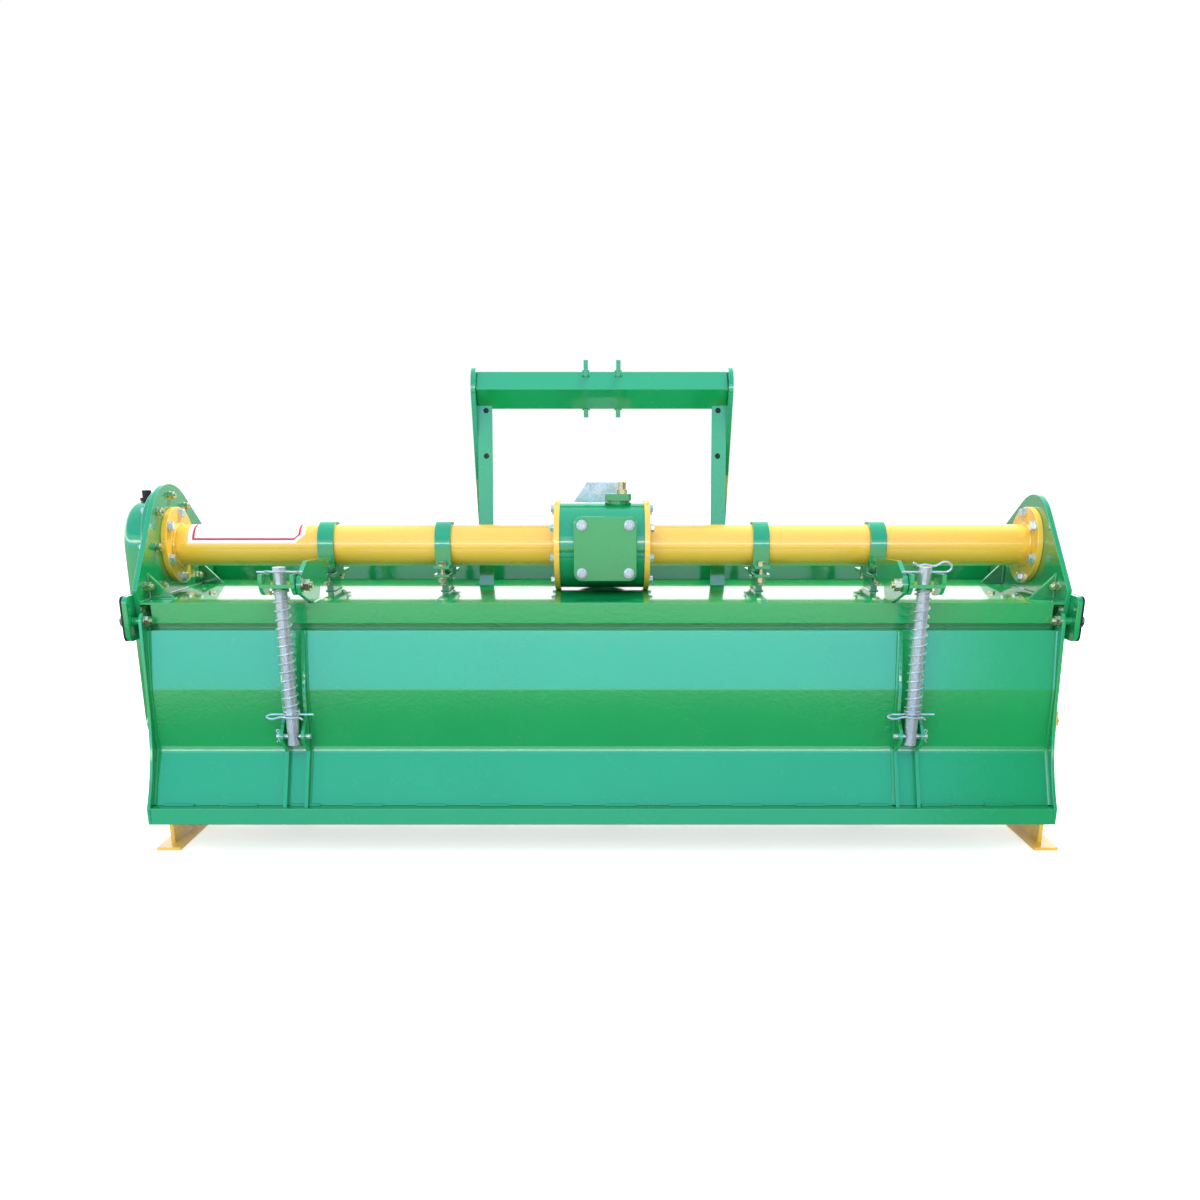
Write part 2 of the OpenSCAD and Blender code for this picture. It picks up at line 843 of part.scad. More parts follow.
// Bent sheet of the trailing board, with a ledge and an upright strip inside the deck's lip
module board_sheet() {
    front_line = [for (i = [len(board_line) - 1 : -1 : 0]) board_line[i] + [board_t, 0]];
    ledge = board_line[0] - [0, board_t];
    color(paint_green) plate_x(-board_end_inner, 2 * board_end_inner) union() {
        polygon(concat(board_line, front_line));
        translate(ledge) square([strip_reach, board_t]);
        translate(ledge + [strip_reach - board_t, 0]) square([board_t, strip_rise]);
    }
}

// Box rail along the board's lower edge
module board_rail() {
    wall = board_t;
    color(paint_green) plate_x(-board_end_inner, 2 * board_end_inner) difference() {
        translate([rail_rear, rail_z]) square([rail_w, rail_h]);
        translate([rail_rear + wall, rail_z + wall]) square([rail_w - 2 * wall, rail_h - 2 * wall]);
    }
}

end_lug_r = 20;
end_margin = 14;

// End plate of the trailing board, with the hinge's ear
module board_end(side) {
    hinge = [hinge_y, hinge_z];
    rear_low = [rail_rear, rail_z + rail_h];
    color(paint_green) on_side(side) plate_x(board_end_inner, rib_t) difference() {
        union() {
            translate(hinge) circle(end_lug_r);
            polygon(concat(
                [hinge, hinge - [end_lug_r, 0]],
                bend_points(board_line[1] - [end_margin, 0], board_line[2] - [end_margin, 20], rear_low, 10),
                [
                    [rail_rear, rail_z],
                    [rail_rear + rail_w, rail_z],
                    board_line[3] + [board_t + end_margin, 0],
                    board_line[2] + [board_t + end_margin, 0],
                    board_line[1] + [board_t + end_margin, 0],
                    hinge + [end_lug_r, 0]
                ]
            ));
        }
        translate(hinge) circle(hinge_pin_r + pin_gap);
    }
}

module board_end_left() { board_end(-1); }
module board_end_right() { board_end(1); }

rib_gap = 42;
rib_h = 16;
rib_ear_r = 17;

// Twin ribs at each strut, with ears for the strut's pin
module board_ribs() {
    pin = [strut_y, strut_pin_z];
    ear_top = [board_line[2].x - rib_h, strut_pin_z + 43];
    color(paint_green) both_sides() for (x = [-rib_gap / 2 - rib_t, rib_gap / 2])
        plate_x(strut_x + x, rib_t) difference() {
            union() {
                translate(pin) circle(rib_ear_r);
                polygon([
                    board_line[0],
                    board_line[0] - [rib_h / 2, 10],
                    board_line[1] - [rib_h, 0],
                    ear_top,
                    touch(ear_top, pin, rib_ear_r, 1),
                    pin,
                    touch(board_line[2] - [rib_h, 0], pin, rib_ear_r, -1),
                    board_line[2] - [rib_h, 0],
                    board_line[3] - [rib_h, 0],
                    board_line[3],
                    board_line[2],
                    board_line[1]
                ]);
            }
            translate(pin) circle(strut_pin_r + pin_gap / 2);
        }
}

strut_pin_half = 40;

// Pins at the feet of the struts
module board_strut_pins() {
    color(bright_zinc) both_sides() translate([strut_x, strut_y, strut_pin_z])
        bar_x(-strut_pin_half, strut_pin_half, strut_pin_r);
}

swivel_depth = 60;
swivel_base_t = 8;
swivel_ear_t = 9;
swivel_ear_top = swivel_z + 26;
swivel_ear_low = 22;
collar_r = 21;
collar_t = 3;

// Outline of a swivel's ear: flat top and a round lower end
module swivel_ear_outline() {
    r = swivel_depth / 2;
    top = swivel_ear_top - swivel_z;
    difference() {
        union() {
            translate([0, r - swivel_ear_low]) circle(r);
            translate([-r, r - swivel_ear_low]) square([swivel_depth, r]);
        }
        translate([-swivel_depth, top]) square([2 * swivel_depth, swivel_depth]);
    }
}

// Swivel that guides a strut's rod: base with a collar, two ears and the pivot bolt
module strut_swivel(side) {
    color(paint_green) on_side(side) translate([strut_x, strut_y, swivel_z]) difference() {
        union() {
            translate([-swivel_half, -swivel_depth / 2, -swivel_base_t / 2])
                cube([2 * swivel_half, swivel_depth, swivel_base_t]);
            translate([0, 0, -swivel_base_t / 2 - collar_t]) cylinder(r = collar_r, h = collar_t + over);
            for (x = [-swivel_half, swivel_half - swivel_ear_t]) plate_x(x, swivel_ear_t) swivel_ear_outline();
            bar_x(-swivel_half - arm_gap - arm_t - trunnion_len, over - swivel_half, trunnion_r);
        }
        translate([0, 0, -swivel_base_t]) cylinder(r = rod_r + rod_gap, h = 2 * swivel_base_t);
    }
}

module strut_swivel_left() { strut_swivel(-1); }
module strut_swivel_right() { strut_swivel(1); }

rod_foot_z = strut_pin_z - 20;
rod_top_z = swivel_z + 40;
clip_r = 2.5;
clip_half = swivel_half;
washer_t = 3;
washer_r = 19.5;

// Strut rod with its eye, spring washer and cross pins
module strut_rod(side) {
    color(bright_zinc) on_side(side) translate([strut_x, strut_y, 0]) difference() {
        union() {
            translate([0, 0, rod_foot_z]) cylinder(r = rod_r, h = rod_top_z - rod_foot_z);
            translate([0, 0, spring_foot_z - washer_t]) cylinder(r = washer_r, h = washer_t);
            translate([0, 0, spring_foot_z - washer_t - clip_r / 2]) bar_x(-clip_half, clip_half, clip_r);
            translate([0, 0, swivel_ear_top + clip_r + pin_gap]) bar_x(-clip_half, clip_half, clip_r);
        }
        translate([0, 0, strut_pin_z]) bar_x(-2 * rod_r, 2 * rod_r, strut_pin_r + eye_gap);
    }
}

module strut_rod_left() { strut_rod(-1); }
module strut_rod_right() { strut_rod(1); }

coil_sides = 6;
coil_steps = 12;

// Round wire wound into a coil of the given height
module coil(mean_r, wire, height, turns) {
    rings = turns * coil_steps;
    rise = (height - 2 * wire) / rings;
    points = [
        for (i = [0 : rings], j = [0 : coil_sides - 1])
            let (a = 360 * i / coil_steps, b = 360 * j / coil_sides, r = mean_r + wire * cos(b))
            [r * cos(a), r * sin(a), wire + rise * i + wire * sin(b)]
    ];
    walls = [
        for (i = [0 : rings - 1], j = [0 : coil_sides - 1])
            let (p = i * coil_sides, k = (j + 1) % coil_sides)
            [p + j, p + coil_sides + j, p + coil_sides + k, p + k]
    ];
    first = [for (j = [0 : coil_sides - 1]) j];
    last = [for (j = [coil_sides - 1 : -1 : 0]) rings * coil_sides + j];
    polyhedron(points, concat([first], walls, [last]));
}

// Compression spring between a strut's washer and its swivel
module strut_spring(side) {
    spring_h = swivel_z - swivel_base_t / 2 - collar_t - spring_foot_z - pin_gap;
    color(bright_zinc) on_side(side) translate([strut_x, strut_y, spring_foot_z])
        coil(spring_r, wire_r, spring_h, spring_turns);
}

module strut_spring_left() { strut_spring(-1); }
module strut_spring_right() { strut_spring(1); }

rotor_tube_half = half_span - 30;
journal_left = side_outer + case_flange_t - 2;
journal_right = case_reach - bearing_floor - 2;

// Middle of flange i along the rotor
function flange_place(i) = -rotor_flange_x + 2 * rotor_flange_x * i / (rotor_flanges - 1);

// Rotor tube with its flanges and end journals
module rotor_shaft() {
    color(paint_green) translate([0, 0, rotor_z]) union() {
        bar_x(-rotor_tube_half, rotor_tube_half, rotor_tube_r);
        bar_x(-journal_left, journal_right, journal_r);
        for (i = [0 : rotor_flanges - 1])
            bar_x(flange_place(i) - rotor_flange_t / 2, flange_place(i) + rotor_flange_t / 2, rotor_flange_r);
    }
}

tine_root = rotor_flange_r - 45;
tine_bend = 30;
tine_back = 55;
tine_half = 24;
tine_sweep = 200;
tines_per_flange = 6;
flange_turn = 20;
foot_z = sqrt(tip_r * tip_r - tine_back * tine_back);

// Bent L of a tine, drawn in X and the radial direction
module tine_profile() {
    translate([0, tine_root]) square([tine_t, foot_z - tine_bend - tine_root]);
    translate([tine_bend, foot_z - tine_bend]) intersection() {
        difference() {
            circle(tine_bend, $fn = 48);
            circle(tine_bend - tine_t, $fn = 48);
        }
        translate([-tine_bend, 0]) square(tine_bend);
    }
    translate([tine_bend, foot_z - tine_t]) square([tine_foot - tine_bend, tine_t]);
}

// Swept outline of a tine, drawn along and across the cut
module tine_outline() {
    polygon(concat(
        [[-tine_half, tine_root], [tine_half, tine_root]],
        bend_points([tine_half, rotor_flange_r], [tine_half + 2, tine_sweep], [-14, tip_r + 4], 6),
        bend_points([-tine_back, tip_r + 4], [-34, tine_sweep], [-tine_half, rotor_flange_r], 6)
    ));
}

// One L-shaped tine that cuts to the right
module tine() {
    intersection() {
        rotate([90, 0, 0]) translate([0, 0, -tip_r]) linear_extrude(2 * tip_r) tine_profile();
        plate_x(-over, tine_foot + 2 * over) tine_outline();
    }
}

// Tines bolted to the rotor's flanges, cutting left and right by turns
module rotor_tines() {
    last = rotor_flanges - 1;
    color(dark_rubber) for (i = [0 : last], k = [0 : tines_per_flange - 1]) {
        hand = i == 0 ? 1 : i == last ? -1 : k % 2 == 0 ? 1 : -1;
        translate([flange_place(i) + hand * rotor_flange_t / 2, 0, rotor_z])
            rotate([-360 / tines_per_flange * k - flange_turn * i, 0, 0])
                on_side(hand) tine();
    }
}

spline_count = 6;
spline_w = 8.7;
spline_depth = 2.9;
spline_len = pto_len - 8;

// Splined input shaft
module pto_shaft() {
    tip = nose_front + pto_len;
    color(bright_zinc) translate([0, 0, tube_z]) difference() {
        bar_y(pto_back, tip, pto_r);
        for (k = [0 : spline_count - 1]) rotate([0, 360 / spline_count * k, 0])
            translate([-spline_w / 2, tip - spline_len, pto_r - spline_depth])
                cube([spline_w, spline_len + over, 2 * spline_depth]);
    }
}

main_tube_left();
main_tube_right();
gearbox_housing();
gearbox_cover();
gearbox_breather();
pto_guard();
deck();
front_curtain();
front_beam();
side_plate_left();
side_plate_right();
drive_case_flange();
drive_case_cover();
drive_case_breather();
drive_case_guard();
bearing_housing();
skid_left();
skid_right();
clamp_straps();
clamp_saddles();
strut_arm_left();
strut_arm_right();
headstock_beam();
headstock_mast_left();
headstock_mast_right();
headstock_brace_left();
headstock_brace_right();
top_link_plates();
lower_hitch_left();
lower_hitch_right();
hinge_cheek_left();
hinge_cheek_right();
board_sheet();
board_rail();
board_end_left();
board_end_right();
board_ribs();
board_strut_pins();
strut_swivel_left();
strut_swivel_right();
strut_rod_left();
strut_rod_right();
strut_spring_left();
strut_spring_right();
rotor_shaft();
rotor_tines();
pto_shaft();
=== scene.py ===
"""The looks of a rotavator: paint, zinc, fasteners, welds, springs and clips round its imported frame.

Lengths are in metres, and places of the machine in the millimetres that at() takes.
+X is right as seen from behind, +Y points to the tractor, +Z is up.
"""

import json
import math

import bmesh
import bpy
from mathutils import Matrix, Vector


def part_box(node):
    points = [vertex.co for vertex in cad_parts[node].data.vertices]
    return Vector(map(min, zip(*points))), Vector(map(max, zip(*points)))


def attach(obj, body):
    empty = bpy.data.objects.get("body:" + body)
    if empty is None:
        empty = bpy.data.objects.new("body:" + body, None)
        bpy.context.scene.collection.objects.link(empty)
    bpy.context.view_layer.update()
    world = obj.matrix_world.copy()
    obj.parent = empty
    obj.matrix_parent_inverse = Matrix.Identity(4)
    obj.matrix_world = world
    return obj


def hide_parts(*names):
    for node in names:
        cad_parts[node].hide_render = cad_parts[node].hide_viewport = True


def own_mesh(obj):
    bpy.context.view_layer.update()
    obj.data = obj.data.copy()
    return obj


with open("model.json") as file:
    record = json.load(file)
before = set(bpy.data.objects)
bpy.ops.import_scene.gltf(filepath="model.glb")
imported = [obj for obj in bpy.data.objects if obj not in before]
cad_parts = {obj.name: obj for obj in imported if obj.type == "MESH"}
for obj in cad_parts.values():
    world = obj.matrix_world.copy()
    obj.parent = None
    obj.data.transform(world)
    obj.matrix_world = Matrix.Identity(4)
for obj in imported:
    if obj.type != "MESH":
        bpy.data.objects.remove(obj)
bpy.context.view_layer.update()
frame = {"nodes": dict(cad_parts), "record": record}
nodes = frame["nodes"]

# Camera, as measured from the photograph
CAMERA_PLACE = (0.0, -2.676, 0.928)
CAMERA_PITCH = math.radians(17.0)
CAMERA_LENS = 31.0
CAMERA_SENSOR = 36.0
CAMERA_SHIFT = (-0.0017, 0.146)

# Paint and metal colours, as linear values
GREEN = (0.004, 0.290, 0.080, 1.0)
GREEN_DEEP = (0.003, 0.252, 0.068, 1.0)
YELLOW = (0.900, 0.530, 0.050, 1.0)
YELLOW_DEEP = (0.860, 0.470, 0.034, 1.0)
ZINC = (0.830, 0.845, 0.860, 1.0)
ZINC_DULL = (0.640, 0.660, 0.690, 1.0)
GOLD_ZINC = (0.930, 0.770, 0.440, 1.0)
GOLD_ZINC_ROSE = (0.880, 0.680, 0.480, 1.0)
GALVANISED = (0.800, 0.810, 0.820, 1.0)
GALVANISED_DARK = (0.640, 0.660, 0.680, 1.0)
OXIDE = (0.045, 0.044, 0.046, 1.0)
OXIDE_BROWN = (0.085, 0.066, 0.052, 1.0)
SOOT = (0.014, 0.014, 0.016, 1.0)
SOOT_GREY = (0.030, 0.030, 0.033, 1.0)
FILM_WHITE = (0.840, 0.860, 0.880, 1.0)
FILM_SHADE = (0.760, 0.790, 0.830, 1.0)
FILM_RED = (0.560, 0.020, 0.045, 1.0)
FLOOR_PALE = (0.800, 0.805, 0.810, 1.0)
WHITE = (1.0, 1.0, 1.0, 1.0)

# Roughness of the finishes, from the glossiest to the dullest spot
GREEN_GLOSS = (0.18, 0.30)
SATIN_GLOSS = (0.22, 0.34)
PLASTIC_GLOSS = (0.38, 0.55)
ZINC_GLOSS = (0.20, 0.36)
GOLD_GLOSS = (0.12, 0.24)
SHEET_GLOSS = (0.22, 0.42)
OXIDE_GLOSS = (0.40, 0.62)
BASE_SHINE = 0.2
COAT_GLOSS = 0.07
COAT_BEND = 2.1
DECK_LEAN = 0.085

# Density of rub marks along X, Y and Z
ALONG_Z = (900.0, 900.0, 60.0)
ALL_WAYS = (420.0, 420.0, 420.0)

# Light of the studio
FLOOR_HALF = 40.0
FLOOR_LIFT = 0.60
FLOOR_BOUNCE = 0.40
WORLD_LIGHT = 0.86
MIRROR_LIGHT = 2.0
WORLD_TINT = (0.96, 0.985, 1.0, 1.0)
SKY_TINT = (0.86, 0.96, 1.0)
SUN_TINT = (1.0, 0.97, 0.92)

# Mirrored surroundings, by the height of the direction: 0 is straight down and 1 straight up
SHADE = (0.02, 0.022, 0.022)
LOW_BLUE = (0.14, 0.36, 0.58)
GLARE = (2.20, 2.15, 2.05)
PALE_BLUE = (0.34, 0.60, 0.85)
TOP_BLUE = (0.18, 0.42, 0.66)
CLEAR = (1.00, 1.00, 1.00)
SKY_BEHIND = [
    (0.00, SHADE), (0.27, SHADE), (0.30, LOW_BLUE), (0.35, LOW_BLUE), (0.375, SHADE), (0.415, SHADE),
    (0.432, (0.38, 0.37, 0.34)), (0.49, (0.44, 0.45, 0.43)), (0.53, (0.24, 0.48, 0.62)),
    (0.555, (0.30, 0.66, 1.22)), (0.585, (0.28, 0.64, 1.20)), (0.60, GLARE), (0.625, GLARE),
    (0.637, PALE_BLUE), (0.715, PALE_BLUE), (0.74, (0.11, 0.38, 0.72)), (1.00, TOP_BLUE)]
SKY_AHEAD = [
    (0.00, (0.08, 0.09, 0.09)), (0.45, (0.20, 0.22, 0.21)), (0.50, (0.34, 0.38, 0.37)),
    (0.535, (0.95, 0.98, 0.96)), (0.56, CLEAR), (0.66, CLEAR), (0.75, (0.40, 0.56, 0.66)), (1.00, TOP_BLUE)]

SKY_CHANGE = (-0.30, 0.45)
DIM_RIGHT = (0.27, 0.37)
DIM_LEVEL = 0.30

# Directions
LEFT, RIGHT = (-1.0, 0.0, 0.0), (1.0, 0.0, 0.0)
REAR, AHEAD = (0.0, -1.0, 0.0), (0.0, 1.0, 0.0)
DOWN, UP = (0.0, 0.0, -1.0), (0.0, 0.0, 1.0)
SIDES = (-1, 1)
NAMED_SIDES = ((-1, "left"), (1, "right"))

# Places of the machine, in millimetres; a pair is a place across the machine's depth and its height
TUBE_Z = 720.0
TUBE_RADIUS = 51.0
TUBE_FLANGE_X = 1066.0
TUBE_BOLT_RADIUS = 78.5
TUBE_ARC = (-21, 39, 99, 159, -141, -81)
GEAR_FLANGE_X = 118.0
GEAR_BOLT_RADIUS = 94.0
GEAR_ARC = range(-60, 300, 45)
COVER_BOLT_REACH = 57.0
SNOUT_FACE_Y = 162.0
SNOUT_BOLT_RADIUS = 70.0
SIDE_INNER_X = 1080.0
SIDE_OUTER_X = 1092.0
DECK_TOP_Z = 608.0
BOARD_PIVOT = (-266.0, 567.0)
BOARD_END_X = 1066.0
BOARD_PROFILE = [(-262.0, 543.0), (-284.0, 408.0), (-288.0, 262.0), (-344.0, 141.0)]
CHEEK_OUTER_X = 1108.0
CHEEK_BOLT = (-238.0, 589.0)
SHOULDER_BOLT = (-206.0, 640.0)
BRACE_X = 303.5
BRACE_FOOT = (95.0, 608.0)
BRACE_RUN = (105.0, 492.0)
BRACE_HOLES_Z = (1050.0, 936.0)
BRACE_DEPTH = 5.0
CLAMPS_X = (396.0, 687.0)
CLAMP_BOLT_Y = 76.0
CLAMP_EAR_Z = (648.0, 676.0)
CASE_OUTER_X = 1110.0
CASE_FOOT_RADIUS = 118.0
CASE_EDGE = 22.0
CASE_GUARD = 6.0
CASE_ARC = (2, 45, 88, 131, 178)
RIM_RADIUS = (122.0, 106.0)
RIM_BOLTS_Z = (633.0, 540.0, 450.0, 365.0)
BEARING_X = 1106.0
BEARING_RADIUS = 77.0
BEARING_ARC = (30, 90, 150, 210, 270, 330)
SKID_BOLT = (-215.0, 315.0)
SKID_HEADS_X = (-1070.0, 1102.0)
DECK_BOLTS_X = (-968.0, -828.0, 828.0, 968.0)
DECK_BOLTS_Y = -87.0
STRUT_X = 725.0
STRUT_Y = -325.0
STRUT_PIVOT_X = 674.0
STRUT_PIVOT_Z = 657.0
RIB_HALF = 30.0
LABEL_ENDS_X = (-1030.0, -739.0)
ROTOR_Z = 300.0
ROTOR_FLANGES_X = [-960.0 + 240.0 * i for i in range(9)]
ROTOR_FLANGE_HALF = 5.0
TINE_THICKNESS = 8.0
TINES_PER_FLANGE = 6
TINE_BOLT_RADIUS = 84.0
TINE_BOLT_HALF_GAP = 12.0
ROTOR_TWIST = 20.0

# Proportions of fasteners to their width over flats
FLAT_HALF = 0.5
TOP_HALF = 0.46
CHAMFER_SLOPE = 0.577
BOLT_HEAD = 0.42
NUT_HEAD = 0.58
WASHER = 0.13
THIN_WASHER = 0.08
WASHER_RADIUS = 0.66
STUD_RADIUS = 0.33
SHANK_RADIUS = 0.32
SHORT_END = 0.05

# Socket kinds of node groups
COLOUR, NUMBER, VECTOR = "NodeSocketColor", "NodeSocketFloat", "NodeSocketVector"
GEOMETRY, MATERIAL = "NodeSocketGeometry", "NodeSocketMaterial"


def put(tree, kind, inputs=None, **settings):
    """Adds a node to a tree."""
    node = tree.nodes.new(kind)
    for name, value in settings.items():
        setattr(node, name, value)
    fill(tree, node, inputs or {})
    return node


def fill(tree, node, inputs):
    """Sets a node's inputs; each takes a plain value or another node's output."""
    for key, value in inputs.items():
        if isinstance(value, bpy.types.NodeSocket):
            tree.links.new(value, node.inputs[key])
        else:
            node.inputs[key].default_value = value


def first(tree, kind, inputs=None, **settings):
    """Adds a node to a tree and returns its first output."""
    return put(tree, kind, inputs, **settings).outputs[0]


def result_of(tree, operation, *values):
    """The result of one sum inside a tree."""
    return first(tree, "ShaderNodeMath", dict(enumerate(values)), operation=operation)


def scaled(tree, value, factor):
    """A value times a factor inside a tree."""
    return result_of(tree, "MULTIPLY", value, factor)


def added(tree, value, other):
    """The sum of two values inside a tree."""
    return result_of(tree, "ADD", value, other)


def ranged(tree, value, start, end, low=0.0, high=1.0):
    """A value that runs from low to high while another runs from a start to an end."""
    return first(tree, "ShaderNodeMapRange", {"Value": value, "From Min": start, "From Max": end,
                                              "To Min": low, "To Max": high})


def vector_result(tree, operation, *vectors):
    """The result of one sum of vectors inside a tree."""
    return first(tree, "ShaderNodeVectorMath", dict(enumerate(vectors)), operation=operation)


def vector_of(tree, x, y, z):
    """A vector made of three values inside a tree."""
    return first(tree, "ShaderNodeCombineXYZ", {"X": x, "Y": y, "Z": z})


def polar(tree, angle, reach, height):
    """A point at an angle round the upright axis inside a tree."""
    return vector_of(tree, scaled(tree, result_of(tree, "COSINE", angle), reach),
                     scaled(tree, result_of(tree, "SINE", angle), reach), height)


def blended(tree, factor, tone, second_tone):
    """A colour between two others inside a tree."""
    return put(tree, "ShaderNodeMix", {"Factor": factor, "A": tone, "B": second_tone},
               data_type="RGBA").outputs["Result"]


def noise(tree, place, scale, detail, roughness=0.5):
    """Cloudy noise inside a tree."""
    return first(tree, "ShaderNodeTexNoise", {"Vector": place, "Scale": scale, "Detail": detail,
                                              "Roughness": roughness})


def object_place(tree):
    """The place on the machine, for a shader."""
    return put(tree, "ShaderNodeTexCoord").outputs["Object"]


def new_group(name, kind, inputs, outputs):
    """Makes a node group with named sockets and returns it with what it is given and its end node."""
    tree = bpy.data.node_groups.new(name, kind)
    for socket_name, socket_kind, value in inputs:
        socket = tree.interface.new_socket(socket_name, in_out="INPUT", socket_type=socket_kind)
        if value is not None:
            socket.default_value = value
    for socket_name, socket_kind in outputs:
        tree.interface.new_socket(socket_name, in_out="OUTPUT", socket_type=socket_kind)
    return tree, tree.nodes.new("NodeGroupInput").outputs, tree.nodes.new("NodeGroupOutput")


def new_growth(name, *values):
    """Makes a geometry tree that takes a piece, its own values and a finish."""
    inputs = [("Geometry", GEOMETRY, None), *values, ("Finish", MATERIAL, None)]
    return new_group(name, "GeometryNodeTree", inputs, [("Geometry", GEOMETRY)])


def tone_drift_group():
    """Two tones of one finish that drift into each other over the surface."""
    tree, given, result = new_group(
        "tone_drift", "ShaderNodeTree",
        [("Tone", COLOUR, None), ("Second tone", COLOUR, None), ("Patch size", NUMBER, 0.25),
         ("Amount", NUMBER, 0.6)],
        [("Colour", COLOUR)])
    scale = result_of(tree, "DIVIDE", 1.0, given["Patch size"])
    broad = noise(tree, object_place(tree), scale, 5.0, 0.55)
    mask = scaled(tree, ranged(tree, broad, 0.35, 0.65), given["Amount"])
    tone = blended(tree, mask, given["Tone"], given["Second tone"])
    fill(tree, result, {"Colour": tone})
    return tree


def new_surface(name, *values):
    """Makes a group for a surface effect that takes its own values, a depth and two levels of gloss."""
    inputs = [*values, ("Depth", NUMBER, 0.1), ("Gloss low", NUMBER, 0.2), ("Gloss high", NUMBER, 0.4)]
    return new_group(name, "ShaderNodeTree", inputs, [("Roughness", NUMBER), ("Normal", VECTOR)])


def end_surface(tree, given, result, height, distance, mottle):
    """Ends a surface effect: a height gives the bumped normal, and a mottle the uneven gloss."""
    bump = first(tree, "ShaderNodeBump", {"Strength": given["Depth"], "Distance": distance,
                                          "Height": height})
    gloss = ranged(tree, mottle, 0.3, 0.7, given["Gloss low"], given["Gloss high"])
    fill(tree, result, {"Roughness": gloss, "Normal": bump})
    return tree


def orange_peel_group():
    """Fine waves that sprayed paint dries into, as a bumped normal and an uneven gloss."""
    tree, given, result = new_surface("orange_peel", ("Wave size", NUMBER, 0.006))
    place = object_place(tree)
    scale = result_of(tree, "DIVIDE", 1.0, given["Wave size"])
    waves = noise(tree, place, scale, 2.0)
    smears = noise(tree, place, 7.0, 6.0, 0.7)
    return end_surface(tree, given, result, waves, 0.001, smears)


def rubbed_metal_group():
    """Fine rub marks along one direction, as an uneven gloss and a bumped normal."""
    tree, given, result = new_surface("rubbed_metal", ("Along", VECTOR, ALONG_Z))
    stretched = vector_result(tree, "MULTIPLY", object_place(tree), given["Along"])
    marks = noise(tree, stretched, 1.0, 4.0, 0.65)
    return end_surface(tree, given, result, marks, 0.0005, marks)


TONE_DRIFT = tone_drift_group()
ORANGE_PEEL = orange_peel_group()
RUBBED_METAL = rubbed_metal_group()


def new_material(name):
    """An empty node material with its Principled shader."""
    material = bpy.data.materials.new(name)
    material.use_nodes = True
    tree = material.node_tree
    return material, tree, tree.nodes["Principled BSDF"]


def use_group(tree, group, inputs):
    """Places a shared effect in a material with that material's own values."""
    return put(tree, "ShaderNodeGroup", inputs, node_tree=group).outputs


def painted(name, tone, second_tone, amount, gloss, coat, lean=0.0):
    """Sprayed gloss paint over steel; a lean tips the mirrored view to the rear, as on a dished sheet."""
    material, tree, shader = new_material(name)
    drift = use_group(tree, TONE_DRIFT, {"Tone": tone, "Second tone": second_tone, "Patch size": 0.35,
                                         "Amount": amount})
    peel = use_group(tree, ORANGE_PEEL, {"Wave size": 0.007, "Depth": 0.10, "Gloss low": gloss[0],
                                         "Gloss high": gloss[1]})
    tipped = vector_result(tree, "ADD", peel["Normal"], (0.0, -lean, 0.0))
    normal = vector_result(tree, "NORMALIZE", tipped)
    fill(tree, shader, {"Base Color": drift["Colour"], "Roughness": peel["Roughness"], "Normal": normal,
                        "Specular IOR Level": BASE_SHINE, "Coat Weight": coat, "Coat Roughness": COAT_GLOSS,
                        "Coat IOR": COAT_BEND, "Coat Normal": normal})
    return material


def plated(name, tone, second_tone, patch, along, gloss, depth, metal=1.0):
    """Bare or plated metal with rub marks; a dull plating is less than all metal."""
    material, tree, shader = new_material(name)
    drift = use_group(tree, TONE_DRIFT, {"Tone": tone, "Second tone": second_tone, "Patch size": patch,
                                         "Amount": 0.8})
    rubs = use_group(tree, RUBBED_METAL, {"Along": along, "Depth": depth, "Gloss low": gloss[0],
                                          "Gloss high": gloss[1]})
    fill(tree, shader, {"Base Color": drift["Colour"], "Roughness": rubs["Roughness"],
                        "Normal": rubs["Normal"], "Metallic": metal})
    return material


def galvanised_sheet():
    """Hot-dipped sheet with the angular grains of its zinc."""
    material, tree, shader = new_material("galvanised_sheet")
    grains = put(tree, "ShaderNodeTexVoronoi", {"Vector": object_place(tree), "Scale": 70.0})
    level = put(tree, "ShaderNodeSeparateColor", {0: grains.outputs["Color"]}).outputs
    tone = blended(tree, level[0], GALVANISED, GALVANISED_DARK)
    gloss = ranged(tree, level[1], 0.0, 1.0, *SHEET_GLOSS)
    fill(tree, shader, {"Base Color": tone, "Roughness": gloss, "Metallic": 0.8})
    return material


green_paint = painted("green_paint", GREEN, GREEN_DEEP, 0.45, GREEN_GLOSS, coat=1.0)
deck_paint = painted("deck_paint", GREEN, GREEN_DEEP, 0.45, GREEN_GLOSS, coat=1.0, lean=DECK_LEAN)
yellow_paint = painted("yellow_paint", YELLOW, YELLOW_DEEP, 0.40, SATIN_GLOSS, coat=0.7)
black_plastic = painted("black_plastic", SOOT, SOOT_GREY, 0.80, PLASTIC_GLOSS, coat=0.0)
film_white = painted("film_white", FILM_WHITE, FILM_SHADE, 0.50, SATIN_GLOSS, coat=0.3)
film_red = painted("film_red", FILM_RED, FILM_RED, 0.0, SATIN_GLOSS, coat=0.3)
bright_zinc = plated("bright_zinc", ZINC, ZINC_DULL, 0.05, ALONG_Z, ZINC_GLOSS, depth=0.10, metal=0.78)
gold_zinc = plated("gold_zinc", GOLD_ZINC, GOLD_ZINC_ROSE, 0.012, ALL_WAYS, GOLD_GLOSS, depth=0.06,
                   metal=0.96)
dark_steel = plated("dark_steel", OXIDE, OXIDE_BROWN, 0.06, ALL_WAYS, OXIDE_GLOSS, depth=0.30)
zinc_sheet = galvanised_sheet()
